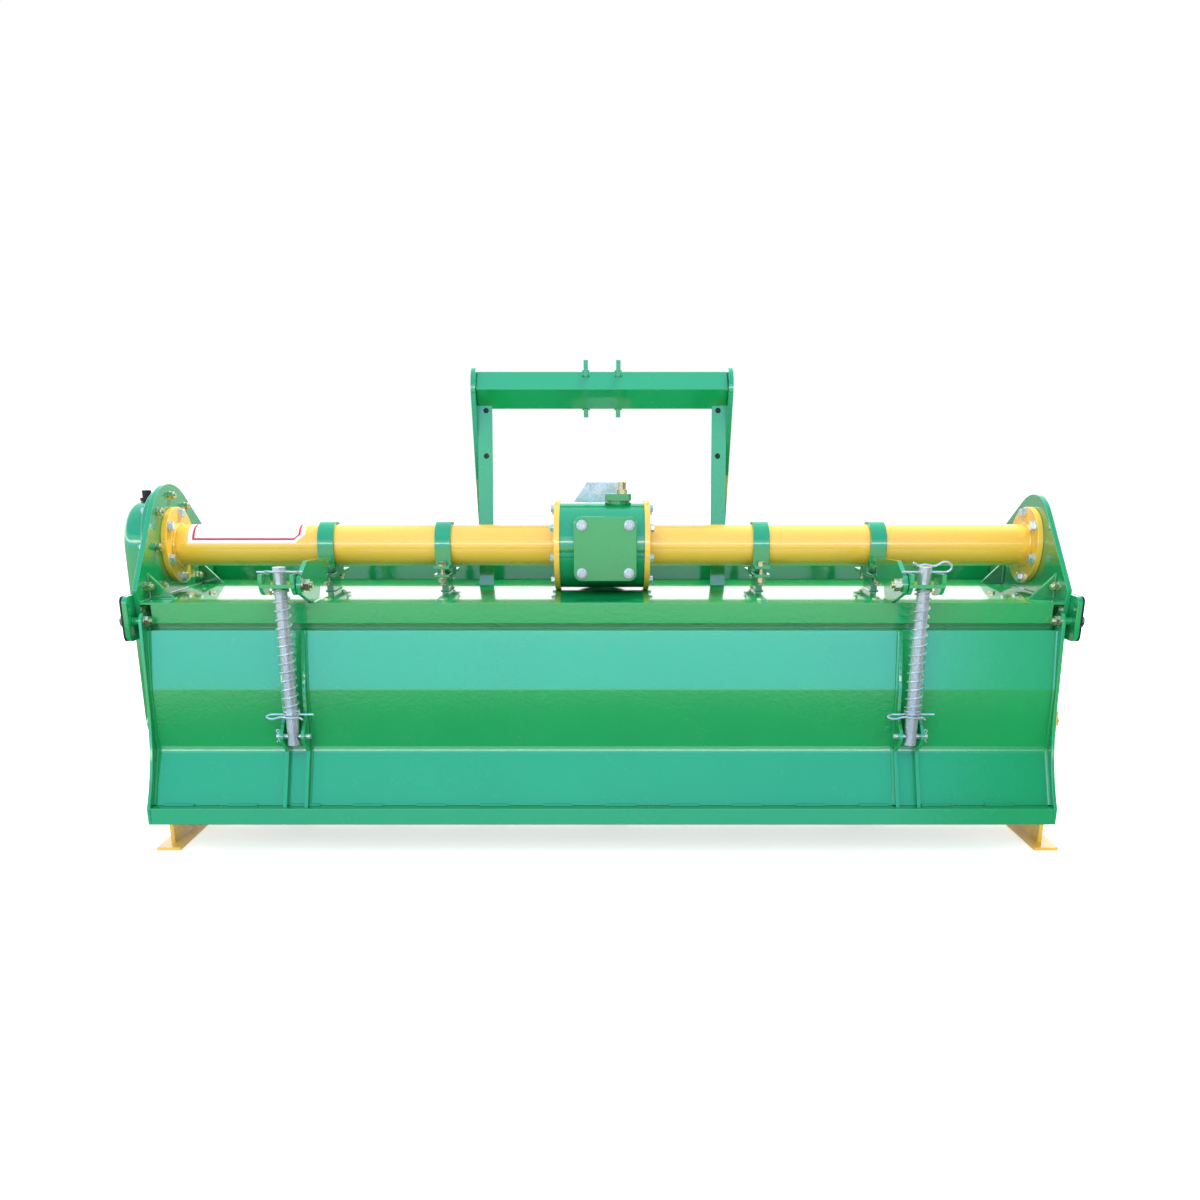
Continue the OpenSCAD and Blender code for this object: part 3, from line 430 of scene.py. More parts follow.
FINISHES = {
    "green_paint": green_paint,
    "yellow_paint": yellow_paint,
    "bright_zinc": bright_zinc,
    "galvanised_sheet": zinc_sheet,
    "dark_steel": dark_steel,
    "black_plastic": black_plastic,
}

# Edges that turn by fewer degrees belong to a curve
CURVE_TURN = 28.0

# Worn edges: their radius by the kind of piece, and how they are rounded
PLATE_EDGE = 0.0015
SHEET_EDGE = 0.0010
CAST_EDGE = 0.0030
BEND_EDGE = 0.0018
NO_EDGE = 0.0
EDGE_SEGMENTS = 3
JOIN_GAP = 0.00002
FLAT_TURN = 0.5
EDGE_WIDTHS = {
    "deck": SHEET_EDGE, "front_curtain": SHEET_EDGE, "pto_guard": SHEET_EDGE,
    "rotor_tines": SHEET_EDGE, "strut_rod_left": SHEET_EDGE, "strut_rod_right": SHEET_EDGE,
    "gearbox_housing": CAST_EDGE, "gearbox_cover": CAST_EDGE, "drive_case_flange": CAST_EDGE,
    "drive_case_cover": NO_EDGE, "strut_spring_left": NO_EDGE, "strut_spring_right": NO_EDGE,
}


def less(tree, value, limit):
    """Whether a value stays below a limit, inside a tree."""
    return put(tree, "FunctionNodeCompare", {0: value, 1: limit}, operation="LESS_THAN",
               data_type="FLOAT").outputs["Result"]


def smooth_by_angle_tree():
    """Shades faces smooth and keeps the edges sharp that turn by more than an angle."""
    tree, given, result = new_group(
        "smooth_by_angle", "GeometryNodeTree",
        [("Geometry", GEOMETRY, None), ("Angle", NUMBER, math.radians(CURVE_TURN))],
        [("Geometry", GEOMETRY)])
    turn = put(tree, "GeometryNodeInputMeshEdgeAngle").outputs["Unsigned Angle"]
    shading = given["Geometry"]
    for domain, soft in (("EDGE", less(tree, turn, given["Angle"])), ("FACE", True)):
        shading = first(tree, "GeometryNodeSetShadeSmooth", {"Geometry": shading, "Shade Smooth": soft},
                        domain=domain)
    fill(tree, result, {"Geometry": shading})
    return tree


def finish_geometry(tree, given, result, geometry):
    """Ends a geometry tree: plain mesh, smooth curves, one finish."""
    plain = first(tree, "GeometryNodeRealizeInstances", {"Geometry": geometry})
    smooth = first(tree, "GeometryNodeGroup", {"Geometry": plain}, node_tree=SMOOTH_BY_ANGLE)
    done = first(tree, "GeometryNodeSetMaterial", {"Geometry": smooth, "Material": given["Finish"]})
    fill(tree, result, {"Geometry": done})
    return tree


def lid_paint_tree():
    """Paints the faces below a height, for a lid that carries a bare fitting."""
    tree, given, result = new_growth("lid_paint", ("Height", NUMBER, 0.0))
    place = first(tree, "GeometryNodeInputPosition")
    height = put(tree, "ShaderNodeSeparateXYZ", {0: place}).outputs["Z"]
    done = first(tree, "GeometryNodeSetMaterial", {
        "Geometry": given["Geometry"], "Selection": less(tree, height, given["Height"]),
        "Material": given["Finish"]})
    fill(tree, result, {"Geometry": done})
    return tree


def cylinder(tree, sides, radius, depth, rows=1):
    """A round bar inside a tree, with its middle at the origin."""
    return first(tree, "GeometryNodeMeshCylinder", {"Vertices": sides, "Side Segments": rows,
                                                    "Radius": radius, "Depth": depth})


def raised(tree, geometry, height):
    """Geometry moved up by a height inside a tree."""
    lift = vector_of(tree, 0.0, 0.0, height)
    return first(tree, "GeometryNodeTransform", {"Geometry": geometry, "Translation": lift})


def reshaped(tree, geometry, place):
    """Geometry whose points move to a new place inside a tree."""
    return first(tree, "GeometryNodeSetPosition", {"Geometry": geometry, "Position": place})


def hexagon(tree, place, head):
    """A hexagon with a chamfered top, pulled out of a round blank."""
    point = put(tree, "ShaderNodeSeparateXYZ", {0: place}).outputs
    angle = result_of(tree, "ARCTAN2", point["Y"], point["X"])
    off_flat = result_of(tree, "WRAP", angle, math.pi / 6, -math.pi / 6)
    reach = result_of(tree, "DIVIDE", FLAT_HALF, result_of(tree, "COSINE", off_flat))
    level = result_of(tree, "DIVIDE", point["Z"], head)
    on_top = result_of(tree, "GREATER_THAN", level, 0.75)
    above_foot = result_of(tree, "GREATER_THAN", level, 0.25)
    width = first(tree, "ShaderNodeMix", {0: on_top, 2: reach, 3: TOP_HALF}, data_type="FLOAT")
    chamfer = scaled(tree, added(tree, width, -TOP_HALF), -CHAMFER_SLOPE)
    rise = scaled(tree, added(tree, head, chamfer), above_foot)
    blank = raised(tree, cylinder(tree, 36, FLAT_HALF, head, 2), scaled(tree, head, 0.5))
    return reshaped(tree, blank, polar(tree, angle, width, rise))


def thread(tree, place, stud):
    """The threaded end of a bolt."""
    row_density, wave_density, depth, mean = 34.0, 65.0, 0.06, 0.97
    height = put(tree, "ShaderNodeSeparateXYZ", {0: place}).outputs["Z"]
    rows = first(tree, "FunctionNodeFloatToInt", {0: scaled(tree, stud, row_density)},
                 rounding_mode="CEILING")
    rod = raised(tree, cylinder(tree, 14, STUD_RADIUS, stud, rows), scaled(tree, stud, 0.5))
    wave = result_of(tree, "SINE", scaled(tree, height, wave_density))
    narrow = added(tree, scaled(tree, wave, depth), mean)
    return reshaped(tree, rod, vector_result(tree, "MULTIPLY", place, vector_of(tree, narrow, narrow, 1.0)))


def fastener_tree():
    """Hexagon heads or nuts, one on each point and square to its axis, in units of the width over flats."""
    tree, given, result = new_growth("fasteners", ("Head", NUMBER, BOLT_HEAD), ("Washer", NUMBER, WASHER),
                                     ("Stud", NUMBER, SHORT_END), ("Shank", NUMBER, SHORT_END))
    washer = given["Washer"]
    shank = given["Shank"]
    place = first(tree, "GeometryNodeInputPosition")
    unit = put(tree, "GeometryNodeJoinGeometry")
    for part in (raised(tree, cylinder(tree, 20, SHANK_RADIUS, shank), scaled(tree, shank, -0.499)),
                 thread(tree, place, given["Stud"]),
                 raised(tree, cylinder(tree, 28, WASHER_RADIUS, washer), scaled(tree, washer, 0.5)),
                 raised(tree, hexagon(tree, place, given["Head"]), washer)):
        tree.links.new(part, unit.inputs[0])
    axis = put(tree, "GeometryNodeInputNamedAttribute", {"Name": "axis"},
               data_type="FLOAT_VECTOR").outputs["Attribute"]
    size = put(tree, "GeometryNodeInputNamedAttribute", {"Name": "size"}, data_type="FLOAT")
    upright = first(tree, "FunctionNodeAlignRotationToVector", {"Vector": axis}, axis="Z")
    spin = put(tree, "FunctionNodeRandomValue", {"Seed": 7}, data_type="FLOAT")
    spin.inputs[3].default_value = math.radians(60.0)
    turn = first(tree, "FunctionNodeAxisAngleToRotation", {"Angle": spin.outputs[1]})
    turned = first(tree, "FunctionNodeRotateRotation", {0: upright, 1: turn}, rotation_space="LOCAL")
    set_out = first(tree, "GeometryNodeInstanceOnPoints", {
        "Points": given["Geometry"], "Instance": unit.outputs[0], "Rotation": turned,
        "Scale": size.outputs["Attribute"]})
    return finish_geometry(tree, given, result, set_out)


def swept(tree, curve, radius, sides):
    """A round bar along a curve inside a tree, with closed ends."""
    ring = first(tree, "GeometryNodeCurvePrimitiveCircle", {"Resolution": sides, "Radius": radius})
    return first(tree, "GeometryNodeCurveToMesh", {"Curve": curve, "Profile Curve": ring,
                                                   "Fill Caps": True})


def curve_of(tree, given):
    """The lines of the given piece as a curve inside a tree."""
    return first(tree, "GeometryNodeMeshToCurve", {"Mesh": given["Geometry"]})


def wire_tree():
    """Round wire along plain lines."""
    tree, given, result = new_growth("wire", ("Radius", NUMBER, 0.002))
    return finish_geometry(tree, given, result, swept(tree, curve_of(tree, given), given["Radius"], 12))


def weld_tree():
    """Beads of weld along plain lines, rippled as each pool froze over the one before."""
    tree, given, result = new_growth("weld", ("Radius", NUMBER, 0.004), ("Ripple", NUMBER, 0.006))
    crest_share, uneven_share, least = 0.34, 0.55, 0.50
    fine = first(tree, "GeometryNodeResampleCurve", {"Curve": curve_of(tree, given), "Length": 0.002},
                 mode="LENGTH")
    along = put(tree, "GeometryNodeSplineParameter").outputs["Length"]
    phase = result_of(tree, "DIVIDE", along, given["Ripple"])
    crest = result_of(tree, "ABSOLUTE", result_of(tree, "SINE", scaled(tree, phase, math.pi)))
    uneven = noise(tree, first(tree, "GeometryNodeInputPosition"), 60.0, 2.0)
    width = added(tree, scaled(tree, crest, crest_share), scaled(tree, uneven, uneven_share))
    bead = first(tree, "GeometryNodeSetCurveRadius", {"Curve": fine, "Radius": added(tree, width, least)})
    return finish_geometry(tree, given, result, swept(tree, bead, given["Radius"], 7))


def spring_tree():
    """A wound spring with closed coils at both ends, standing on its foot."""
    tree, given, result = new_growth(
        "spring", ("Turns", NUMBER, 16.0), ("Coil radius", NUMBER, 0.0175), ("Wire radius", NUMBER, 0.002),
        ("Height", NUMBER, 0.288), ("Place", VECTOR, (0.0, 0.0, 0.0)))
    closed_turns, closed_wires = 1.2, 3.2
    line = first(tree, "GeometryNodeCurvePrimitiveLine")
    fine = first(tree, "GeometryNodeResampleCurve", {"Curve": line, "Count": 640}, mode="COUNT")
    along = put(tree, "GeometryNodeSplineParameter").outputs["Factor"]
    turns = given["Turns"]
    wire = given["Wire radius"]
    closed = result_of(tree, "DIVIDE", closed_turns, turns)
    open_end = result_of(tree, "SUBTRACT", 1.0, closed)
    foot_top = scaled(tree, wire, closed_wires)
    head_low = result_of(tree, "SUBTRACT", given["Height"], foot_top)
    head_high = result_of(tree, "SUBTRACT", given["Height"], wire)
    foot = ranged(tree, along, 0.0, closed, wire, foot_top)
    middle = ranged(tree, along, closed, open_end, 0.0, result_of(tree, "SUBTRACT", head_low, foot_top))
    head = ranged(tree, along, open_end, 1.0, 0.0, result_of(tree, "SUBTRACT", head_high, head_low))
    height = added(tree, added(tree, foot, middle), head)
    angle = scaled(tree, scaled(tree, along, turns), 2.0 * math.pi)
    point = polar(tree, angle, given["Coil radius"], height)
    wound = reshaped(tree, fine, vector_result(tree, "ADD", point, given["Place"]))
    return finish_geometry(tree, given, result, swept(tree, wound, wire, 12))


SMOOTH_BY_ANGLE = smooth_by_angle_tree()
LID_PAINT = lid_paint_tree()
FASTENERS = fastener_tree()
WIRE = wire_tree()
WELD = weld_tree()
SPRING = spring_tree()


def run_tree(piece, name, tree, values):
    """Puts a geometry tree on a piece with the piece's own values."""
    run = piece.modifiers.new(name, "NODES")
    run.node_group = tree
    for socket in tree.interface.items_tree:
        if socket.in_out == "INPUT" and socket.name in values:
            run[socket.identifier] = values[socket.name]
    return run


def soften(piece, width, crease=CURVE_TURN, bend=CURVE_TURN):
    """Joins a solid's triangles, shades its curves smooth and rounds its edges."""
    weld = piece.modifiers.new("join", "WELD")
    weld.merge_threshold = JOIN_GAP
    flat = piece.modifiers.new("flat_faces", "DECIMATE")
    flat.decimate_type = "DISSOLVE"
    flat.angle_limit = math.radians(FLAT_TURN)
    run_tree(piece, "smooth", SMOOTH_BY_ANGLE, {"Angle": math.radians(crease)})
    if width > 0:
        edge = piece.modifiers.new("edge", "BEVEL")
        edge.width = width
        edge.segments = EDGE_SEGMENTS
        edge.limit_method = "ANGLE"
        edge.angle_limit = math.radians(bend)
        edge.harden_normals = True


def finish_solids():
    """Gives every solid of the frame its finish and soft edges."""
    for part in frame["record"]["subparts"]:
        name = part["node"]
        solid = nodes[name]
        finish = deck_paint if name == "deck" else FINISHES[part["material_slot"]]
        solid.data.materials.clear()
        solid.data.materials.append(finish)
        if name == "board_sheet":
            soften(solid, BEND_EDGE, crease=3.0, bend=6.0)
        else:
            soften(solid, EDGE_WIDTHS.get(name, PLATE_EDGE))


def paint_filler_lid():
    """The gearbox's filler lid is painted, and the breather on it is plated."""
    lid_top = 0.8462
    solid = nodes["gearbox_breather"]
    solid.data.materials[0] = gold_zinc
    run_tree(solid, "lid_paint", LID_PAINT, {"Height": lid_top, "Finish": green_paint})


def new_piece(name, data):
    """A new thing of the scene, at the origin."""
    piece = bpy.data.objects.new(name, data)
    bpy.context.collection.objects.link(piece)
    return piece


def grow(piece, tree, values, body):
    """Runs a geometry tree on a piece, keeps the result as a plain mesh and lets it ride on a body."""
    run = run_tree(piece, "grow", tree, values)
    graph = bpy.context.evaluated_depsgraph_get()
    mesh = bpy.data.meshes.new_from_object(piece.evaluated_get(graph), depsgraph=graph)
    piece.modifiers.remove(run)
    piece.data = mesh
    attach(piece, body)
    return piece


def line_piece(name, lines):
    """A mesh of plain lines for a geometry tree to sweep along."""
    points = []
    edges = []
    for line in lines:
        start = len(points)
        points.extend(line)
        edges.extend((start + i, start + i + 1) for i in range(len(line) - 1))
    mesh = bpy.data.meshes.new(name)
    mesh.from_pydata(points, edges, [])
    return new_piece(name, mesh)


def mesh_piece(name, points, faces, finish, body, thickness=0.0):
    """A piece made of plain points and faces; a thickness makes a closed film of an open sheet."""
    mesh = bpy.data.meshes.new(name)
    mesh.from_pydata(points, [], faces)
    shape = bmesh.new()
    shape.from_mesh(mesh)
    bmesh.ops.recalc_face_normals(shape, faces=shape.faces)
    if thickness > 0:
        bmesh.ops.solidify(shape, geom=shape.faces[:], thickness=thickness)
        bmesh.ops.recalc_face_normals(shape, faces=shape.faces)
    shape.to_mesh(mesh)
    shape.free()
    mesh.materials.append(finish)
    piece = new_piece(name, mesh)
    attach(piece, body)
    return piece


def ring_faces(count, rows):
    """Faces of a body whose points lie in rows round it: its two ends and the walls between the rows."""
    last = count * (rows - 1)
    faces = [tuple(range(count)), tuple(range(last, last + count))]
    for base in range(0, last, count):
        for i in range(count):
            beside = (i + 1) % count
            faces.append((base + i, base + beside, base + count + beside, base + count + i))
    return faces


def at(x, y, z):
    """A point of the machine, given in millimetres."""
    return Vector((x, y, z)) / 1000.0


def ring_x(x, z, radius, angles):
    """Points on a circle round an axis along X; an angle starts at the rear and rises."""
    turns = [math.radians(angle) for angle in angles]
    return [at(x, -radius * math.cos(turn), z + radius * math.sin(turn)) for turn in turns]


def outward(side):
    """The direction away from the middle on one side."""
    return RIGHT if side > 0 else LEFT


def set_on(points, axis, width):
    """Fastener places that share an axis and a width over flats in millimetres."""
    return [(point, axis, width / 1000.0) for point in points]


def fasteners(name, finish, places, body="frame", head=BOLT_HEAD, stud=SHORT_END, shank=SHORT_END,
              washer=WASHER):
    """Makes one piece of all the bolts or nuts of a kind; a place is a point, an axis and a width."""
    mesh = bpy.data.meshes.new(name)
    mesh.from_pydata([place for place, axis, width in places], [], [])
    mesh.attributes.new("axis", "FLOAT_VECTOR", "POINT")
    mesh.attributes.new("size", "FLOAT", "POINT")
    for i, (place, axis, width) in enumerate(places):
        mesh.attributes["axis"].data[i].vector = axis
        mesh.attributes["size"].data[i].value = width
    values = {"Head": head, "Washer": washer, "Stud": stud, "Shank": shank, "Finish": finish}
    return grow(new_piece(name, mesh), FASTENERS, values, body)


def tube_fasteners():
    """Bolts of the main tube's flanges at the side plates and at the gearbox."""
    tube_bolts = []
    gear_bolts = []
    for side in SIDES:
        end = ring_x(side * TUBE_FLANGE_X, TUBE_Z, TUBE_BOLT_RADIUS, TUBE_ARC)
        tube_bolts += set_on(end, outward(-side), width=21)
        gear = ring_x(side * GEAR_FLANGE_X, TUBE_Z, GEAR_BOLT_RADIUS, GEAR_ARC)
        gear_bolts += set_on(gear, outward(side), width=17)
    fasteners("tube_flange_bolts", bright_zinc, tube_bolts)
    fasteners("gearbox_flange_bolts", bright_zinc, gear_bolts)


def hinge_fasteners():
    """Pivots of the trailing board and bolts of the cheeks that hold them."""
    pivot_nuts = []
    cheek_bolts = []
    shoulder_nuts = []
    for side in SIDES:
        pivot_nuts += set_on([at(side * BOARD_END_X, *BOARD_PIVOT)], outward(-side), width=21)
        cheek_bolts += set_on([at(side * SIDE_INNER_X, *CHEEK_BOLT)], outward(-side), width=19)
        cheek_bolts += set_on([at(side * CHEEK_OUTER_X, *BOARD_PIVOT)], outward(side), width=24)
        cheek_bolts += set_on([at(side * CHEEK_OUTER_X, *CHEEK_BOLT)], outward(side), width=19)
        cheek_bolts += set_on([at(side * SIDE_OUTER_X, *SHOULDER_BOLT)], outward(side), width=19)
        shoulder_nuts += set_on([at(side * SIDE_INNER_X, *SHOULDER_BOLT)], outward(-side), width=19)
    fasteners("hinge_pivot_nuts", gold_zinc, pivot_nuts, head=0.40, stud=0.90)
    fasteners("hinge_cheek_bolts", gold_zinc, cheek_bolts)
    fasteners("shoulder_nuts", gold_zinc, shoulder_nuts, head=NUT_HEAD, stud=1.0)


def gearbox_fasteners():
    """Bolts of the gearbox's rear cover and of its input snout."""
    low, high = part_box("gearbox_cover")
    middle = (low + high) * 500.0
    reach = (-COVER_BOLT_REACH, COVER_BOLT_REACH)
    cover = [at(middle.x + x, low.y * 1000.0, middle.z + z) for x in reach for z in reach]
    fasteners("gearbox_cover_bolts", bright_zinc, set_on(cover, REAR, width=19))
    snout = []
    for turn in map(math.radians, range(30, 360, 60)):
        snout.append(at(SNOUT_BOLT_RADIUS * math.cos(turn), SNOUT_FACE_Y,
                        TUBE_Z + SNOUT_BOLT_RADIUS * math.sin(turn)))
    fasteners("snout_bolts", bright_zinc, set_on(snout, AHEAD, width=15))


def brace_hole_shade_bolts():
    """Dark bolts in the holes of the leaning braces, square to them; their dark ends fill the holes as
    painted shade, where shade from the member behind would show.
    """
    lean = math.atan2(*BRACE_RUN)
    through = Vector((0.0, math.cos(lean), -math.sin(lean)))
    face = through * BRACE_DEPTH
    foot_y, foot_z = BRACE_FOOT
    bolts = []
    for z in BRACE_HOLES_Z:
        y = foot_y + (z - foot_z) * math.tan(lean)
        for side in SIDES:
            bolts.append(at(side * BRACE_X, y + face.y, z + face.z))
    # The dark steel finish here is painted shade in the brace holes.
    fasteners("brace_bolts_painted_shade", dark_steel, set_on(bolts, through, width=21), shank=0.2)


def clamp_fasteners():
    """Bolts that pull the clamp straps down on the main tube."""
    heads = []
    nuts = []
    low, high = CLAMP_EAR_Z
    for x in sorted(side * clamp for side in SIDES for clamp in CLAMPS_X):
        heads += set_on([at(x, -CLAMP_BOLT_Y, high), at(x, CLAMP_BOLT_Y, high)], UP, width=19)
        nuts += set_on([at(x, -CLAMP_BOLT_Y, low), at(x, CLAMP_BOLT_Y, low)], DOWN, width=19)
    fasteners("clamp_bolts", gold_zinc, heads, shank=1.5)
    fasteners("clamp_nuts", gold_zinc, nuts, head=NUT_HEAD, stud=1.0)


def case_fasteners():
    """Nuts along the rim of the drive case, and the bolts that show on its top arc."""
    top, foot = RIM_RADIUS
    rim = ring_x(-SIDE_INNER_X, TUBE_Z, top, CASE_ARC)
    for z in RIM_BOLTS_Z:
        reach = top - (top - foot) * (TUBE_Z - z) / (TUBE_Z - ROTOR_Z)
        rim += [at(-SIDE_INNER_X, -reach, z), at(-SIDE_INNER_X, reach, z)]
    rim += ring_x(-SIDE_INNER_X, ROTOR_Z, foot, (-20, -160))
    fasteners("drive_case_nuts", gold_zinc, set_on(rim, RIGHT, width=17), head=NUT_HEAD, stud=0.95)
    bolts = ring_x(-CASE_OUTER_X, TUBE_Z, top + 1.0, CASE_ARC)
    fasteners("drive_case_bolts", bright_zinc, set_on(bolts, LEFT, width=15))


def bearing_fasteners():
    """Bolts and nuts of the rotor's right bearing."""
    bolts = ring_x(BEARING_X, ROTOR_Z, BEARING_RADIUS, BEARING_ARC)
    nuts = ring_x(SIDE_INNER_X, ROTOR_Z, BEARING_RADIUS, BEARING_ARC)
    fasteners("bearing_bolts", bright_zinc, set_on(bolts, RIGHT, width=16))
    fasteners("bearing_nuts", gold_zinc, set_on(nuts, LEFT, width=16), head=NUT_HEAD, stud=0.9)


def skid_fasteners():
    """The bolt and nut that set the height of each skid."""
    bolts = [at(x, *SKID_BOLT) for x in SKID_HEADS_X]
    nuts = [at(x, *SKID_BOLT) for x in (-SIDE_OUTER_X, SIDE_INNER_X)]
    fasteners("skid_bolts", bright_zinc, set_on(bolts, RIGHT, width=24))
    fasteners("skid_nuts", bright_zinc, set_on(nuts, LEFT, width=24), head=NUT_HEAD, stud=0.9)


def deck_fasteners():
    """Bolts on top of the deck."""
    bolts = [at(x, DECK_BOLTS_Y, DECK_TOP_Z) for x in DECK_BOLTS_X]
    fasteners("deck_bolts", gold_zinc, set_on(bolts, UP, width=14))


def strut_fasteners():
    """The nut that holds each swivel to its arm."""
    for side, name in NAMED_SIDES:
        nut = set_on([at(side * STRUT_PIVOT_X, STRUT_Y, STRUT_PIVOT_Z)], outward(-side), width=24)
        fasteners("strut_pivot_nut_" + name, gold_zinc, nut, "swivel_" + name, head=NUT_HEAD, stud=0.95)


def tine_hand(flange, tine):
    """The side that a tine points to: inward on the two end flanges, by turns on the others."""
    if flange == 0:
        return 1
    if flange == len(ROTOR_FLANGES_X) - 1:
        return -1
    return 1 - 2 * (tine % 2)


def rotor_fasteners():
    """Two bolts and two nuts at the root of every tine."""
    heads = []
    nuts = []
    for i, middle in enumerate(ROTOR_FLANGES_X):
        for k in range(TINES_PER_FLANGE):
            hand = tine_hand(i, k)
            turn = math.radians(-360.0 / TINES_PER_FLANGE * k - ROTOR_TWIST * i)
            head_x = middle + hand * (ROTOR_FLANGE_HALF + TINE_THICKNESS)
            for y in (-TINE_BOLT_HALF_GAP, TINE_BOLT_HALF_GAP):
                across = y * math.cos(turn) - TINE_BOLT_RADIUS * math.sin(turn)
                rise = y * math.sin(turn) + TINE_BOLT_RADIUS * math.cos(turn)
                heads += set_on([at(head_x, across, ROTOR_Z + rise)], outward(hand), width=17)
                nuts += set_on([at(middle - hand * ROTOR_FLANGE_HALF, across, ROTOR_Z + rise)],
                               outward(-hand), width=17)
    fasteners("tine_bolts", bright_zinc, heads, "rotor", washer=THIN_WASHER)
    fasteners("tine_nuts", bright_zinc, nuts, "rotor", head=0.55, stud=0.75, washer=THIN_WASHER)


# Bent wire of the clips and split pins, as offsets in millimetres from the hole that they pass
UPPER_CLIP_FLAT = [
    (-50, 0, 0), (-20, 0, 0), (38, 0, 0), (48, -2, 0.5), (52, -7, 1), (50, -13, 1.5), (42, -17, 2),
    (32, -15, 2), (24, -12, 2), (19, -12, 2), (14, -14.5, 2), (7, -17.4, 2), (0, -18.4, 2), (-7, -17.4, 2),
    (-14, -14.5, 2), (-19, -12, 2), (-28, -16, 3)]
UPPER_CLIP_UPRIGHT = [
    (-52, 0, 0), (-20, 0, 0), (40, 0, 0), (50, 0, 1), (57, -1, 6), (58, -1.5, 13), (52, -2, 20),
    (44, -2, 23), (35, -2, 21), (26, -2.5, 16), (19, -3, 14), (12, -3, 14.5), (5, -3, 16), (-3, -3, 17),
    (-11, -3, 15.5), (-18, -3, 15), (-29, -3, 21)]
LOWER_CLIP = [
    (51, 0, 0), (20, 0, 0), (-42, 0, 0), (-50, -1, -0.5), (-57, -4, -3), (-56, -7, -6), (-48, -9, -8.5),
    (-38, -10, -8), (-27, -10, -5), (-20, -12, -3.5), (-14, -15, -3.5), (-7, -18, -4), (0, -19, -4.5),
    (7, -18, -5), (14, -15, -5), (20, -12, -5), (28, -12, -10)]
SPLIT_PIN = [
    (3, 0, -15), (0.8, 0, -9), (0.5, 0, 0), (0.5, 0, 8), (2.5, 0, 11), (2, 0, 14.5), (-1, 0, 16),
    (-4, 0, 14), (-3.5, 0, 11), (-1.2, 0, 8), (-1.2, 0, 0), (-1.5, 0, -9), (-5, 0, -14)]
CLIP_HOLES_Z = (357.8, 685.8)
SPLIT_PIN_Z = 305.0
SPLIT_PIN_OUT = 35.5


def bent_wire(offsets, x, z, steps=6):
    """A curve through points, given as offsets from a place on a strut, as many short lines."""
    points = [at(x + dx, STRUT_Y + dy, z + dz) for dx, dy, dz in offsets]
    ends = [points[0] * 2 - points[1]] + points + [points[-1] * 2 - points[-2]]
    line = []
    for i in range(1, len(ends) - 2):
        a, b, c, d = ends[i - 1:i + 3]
        for step in range(steps):
            t = step / steps
            line.append(0.5 * ((2 * b) + (c - a) * t + (2 * a - 5 * b + 4 * c - d) * t * t
                               + (3 * b - a - 3 * c + d) * t * t * t))
    return line + [points[-1]]


def wire_piece(name, lines, radius, body):
    """A piece of bright round wire."""
    grow(line_piece(name, lines), WIRE, {"Radius": radius, "Finish": bright_zinc}, body)


def strut_pieces():
    """Springs, spring clips and split pins of the two struts."""
    lower_z, upper_z = CLIP_HOLES_Z
    for (side, name), upper in zip(NAMED_SIDES, (UPPER_CLIP_FLAT, UPPER_CLIP_UPRIGHT)):
        x = side * STRUT_X
        clips = [bent_wire(upper, x, upper_z), bent_wire(LOWER_CLIP, x, lower_z)]
        wire_piece("strut_clips_" + name, clips, 0.0024, "rod_" + name)
        pin = bent_wire(SPLIT_PIN, x + side * SPLIT_PIN_OUT, SPLIT_PIN_Z)
        wire_piece("split_pin_" + name, [pin], 0.0013, "board")
        low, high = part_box("strut_spring_" + name)
        spring = line_piece("spring_" + name, [[low, high]])
        grow(spring, SPRING, {"Height": high.z - low.z, "Place": (x / 1000.0, STRUT_Y / 1000.0, low.z),
                              "Finish": bright_zinc}, "swivel_" + name)
        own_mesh(spring)
        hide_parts("strut_spring_" + name)


def belt(top_radius, low_radius):
    """The outline round the two ends of the drive case, as places across and up."""
    steps = 24
    slant = math.asin((low_radius - top_radius) / (TUBE_Z - ROTOR_Z))
    points = []
    for middle, radius, start, end in ((TUBE_Z, top_radius, slant, math.pi - slant),
                                       (ROTOR_Z, low_radius, math.pi - slant, 2 * math.pi + slant)):
        for i in range(steps + 1):
            turn = start + (end - start) * i / steps
            points.append((radius * math.cos(turn), middle + radius * math.sin(turn)))
    return points


def drive_case():
    """The drive case, full to its foot, with a soft outer edge and the guard under the foot."""
    steps = 8
    low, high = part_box("drive_case_cover")
    outer, inner = low.x * 1000.0, high.x * 1000.0
    top_radius = high.y * 1000.0
    rows = [(inner, 0.0)]
    for step in range(steps + 1):
        turn = math.radians(90.0 * step / steps)
        rows.append((outer + CASE_EDGE - CASE_EDGE * math.sin(turn), CASE_EDGE * (1.0 - math.cos(turn))))
    points = []
    for x, inset in rows:
        points += [at(x, y, z) for y, z in belt(top_radius - inset, CASE_FOOT_RADIUS - inset)]
    faces = ring_faces(len(points) // len(rows), len(rows))
    shell = mesh_piece("drive_case_shell", points, faces, green_paint, "frame")
    soften(shell, NO_EDGE)
    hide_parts("drive_case_cover")
    guard_radius = CASE_FOOT_RADIUS + CASE_GUARD
    section = [(inner, CASE_FOOT_RADIUS), (outer + CASE_EDGE, CASE_FOOT_RADIUS),
               (outer + CASE_EDGE, guard_radius), (inner, guard_radius)]
    angles = range(195, 346, 5)
    strip = []
    for angle in angles:
        for x, radius in section:
            strip += ring_x(x, ROTOR_Z, radius, (angle,))
    faces = ring_faces(len(section), len(angles))
    guard = mesh_piece("drive_case_foot_guard", strip, faces, black_plastic, "frame")
    soften(guard, PLATE_EDGE)
    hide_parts("drive_case_guard")


def weld_piece(name, lines, radius, ripple, finish, body):
    """A piece of all the weld beads that share a size."""
    grow(line_piece(name, lines), WELD, {"Radius": radius, "Ripple": ripple, "Finish": finish}, body)


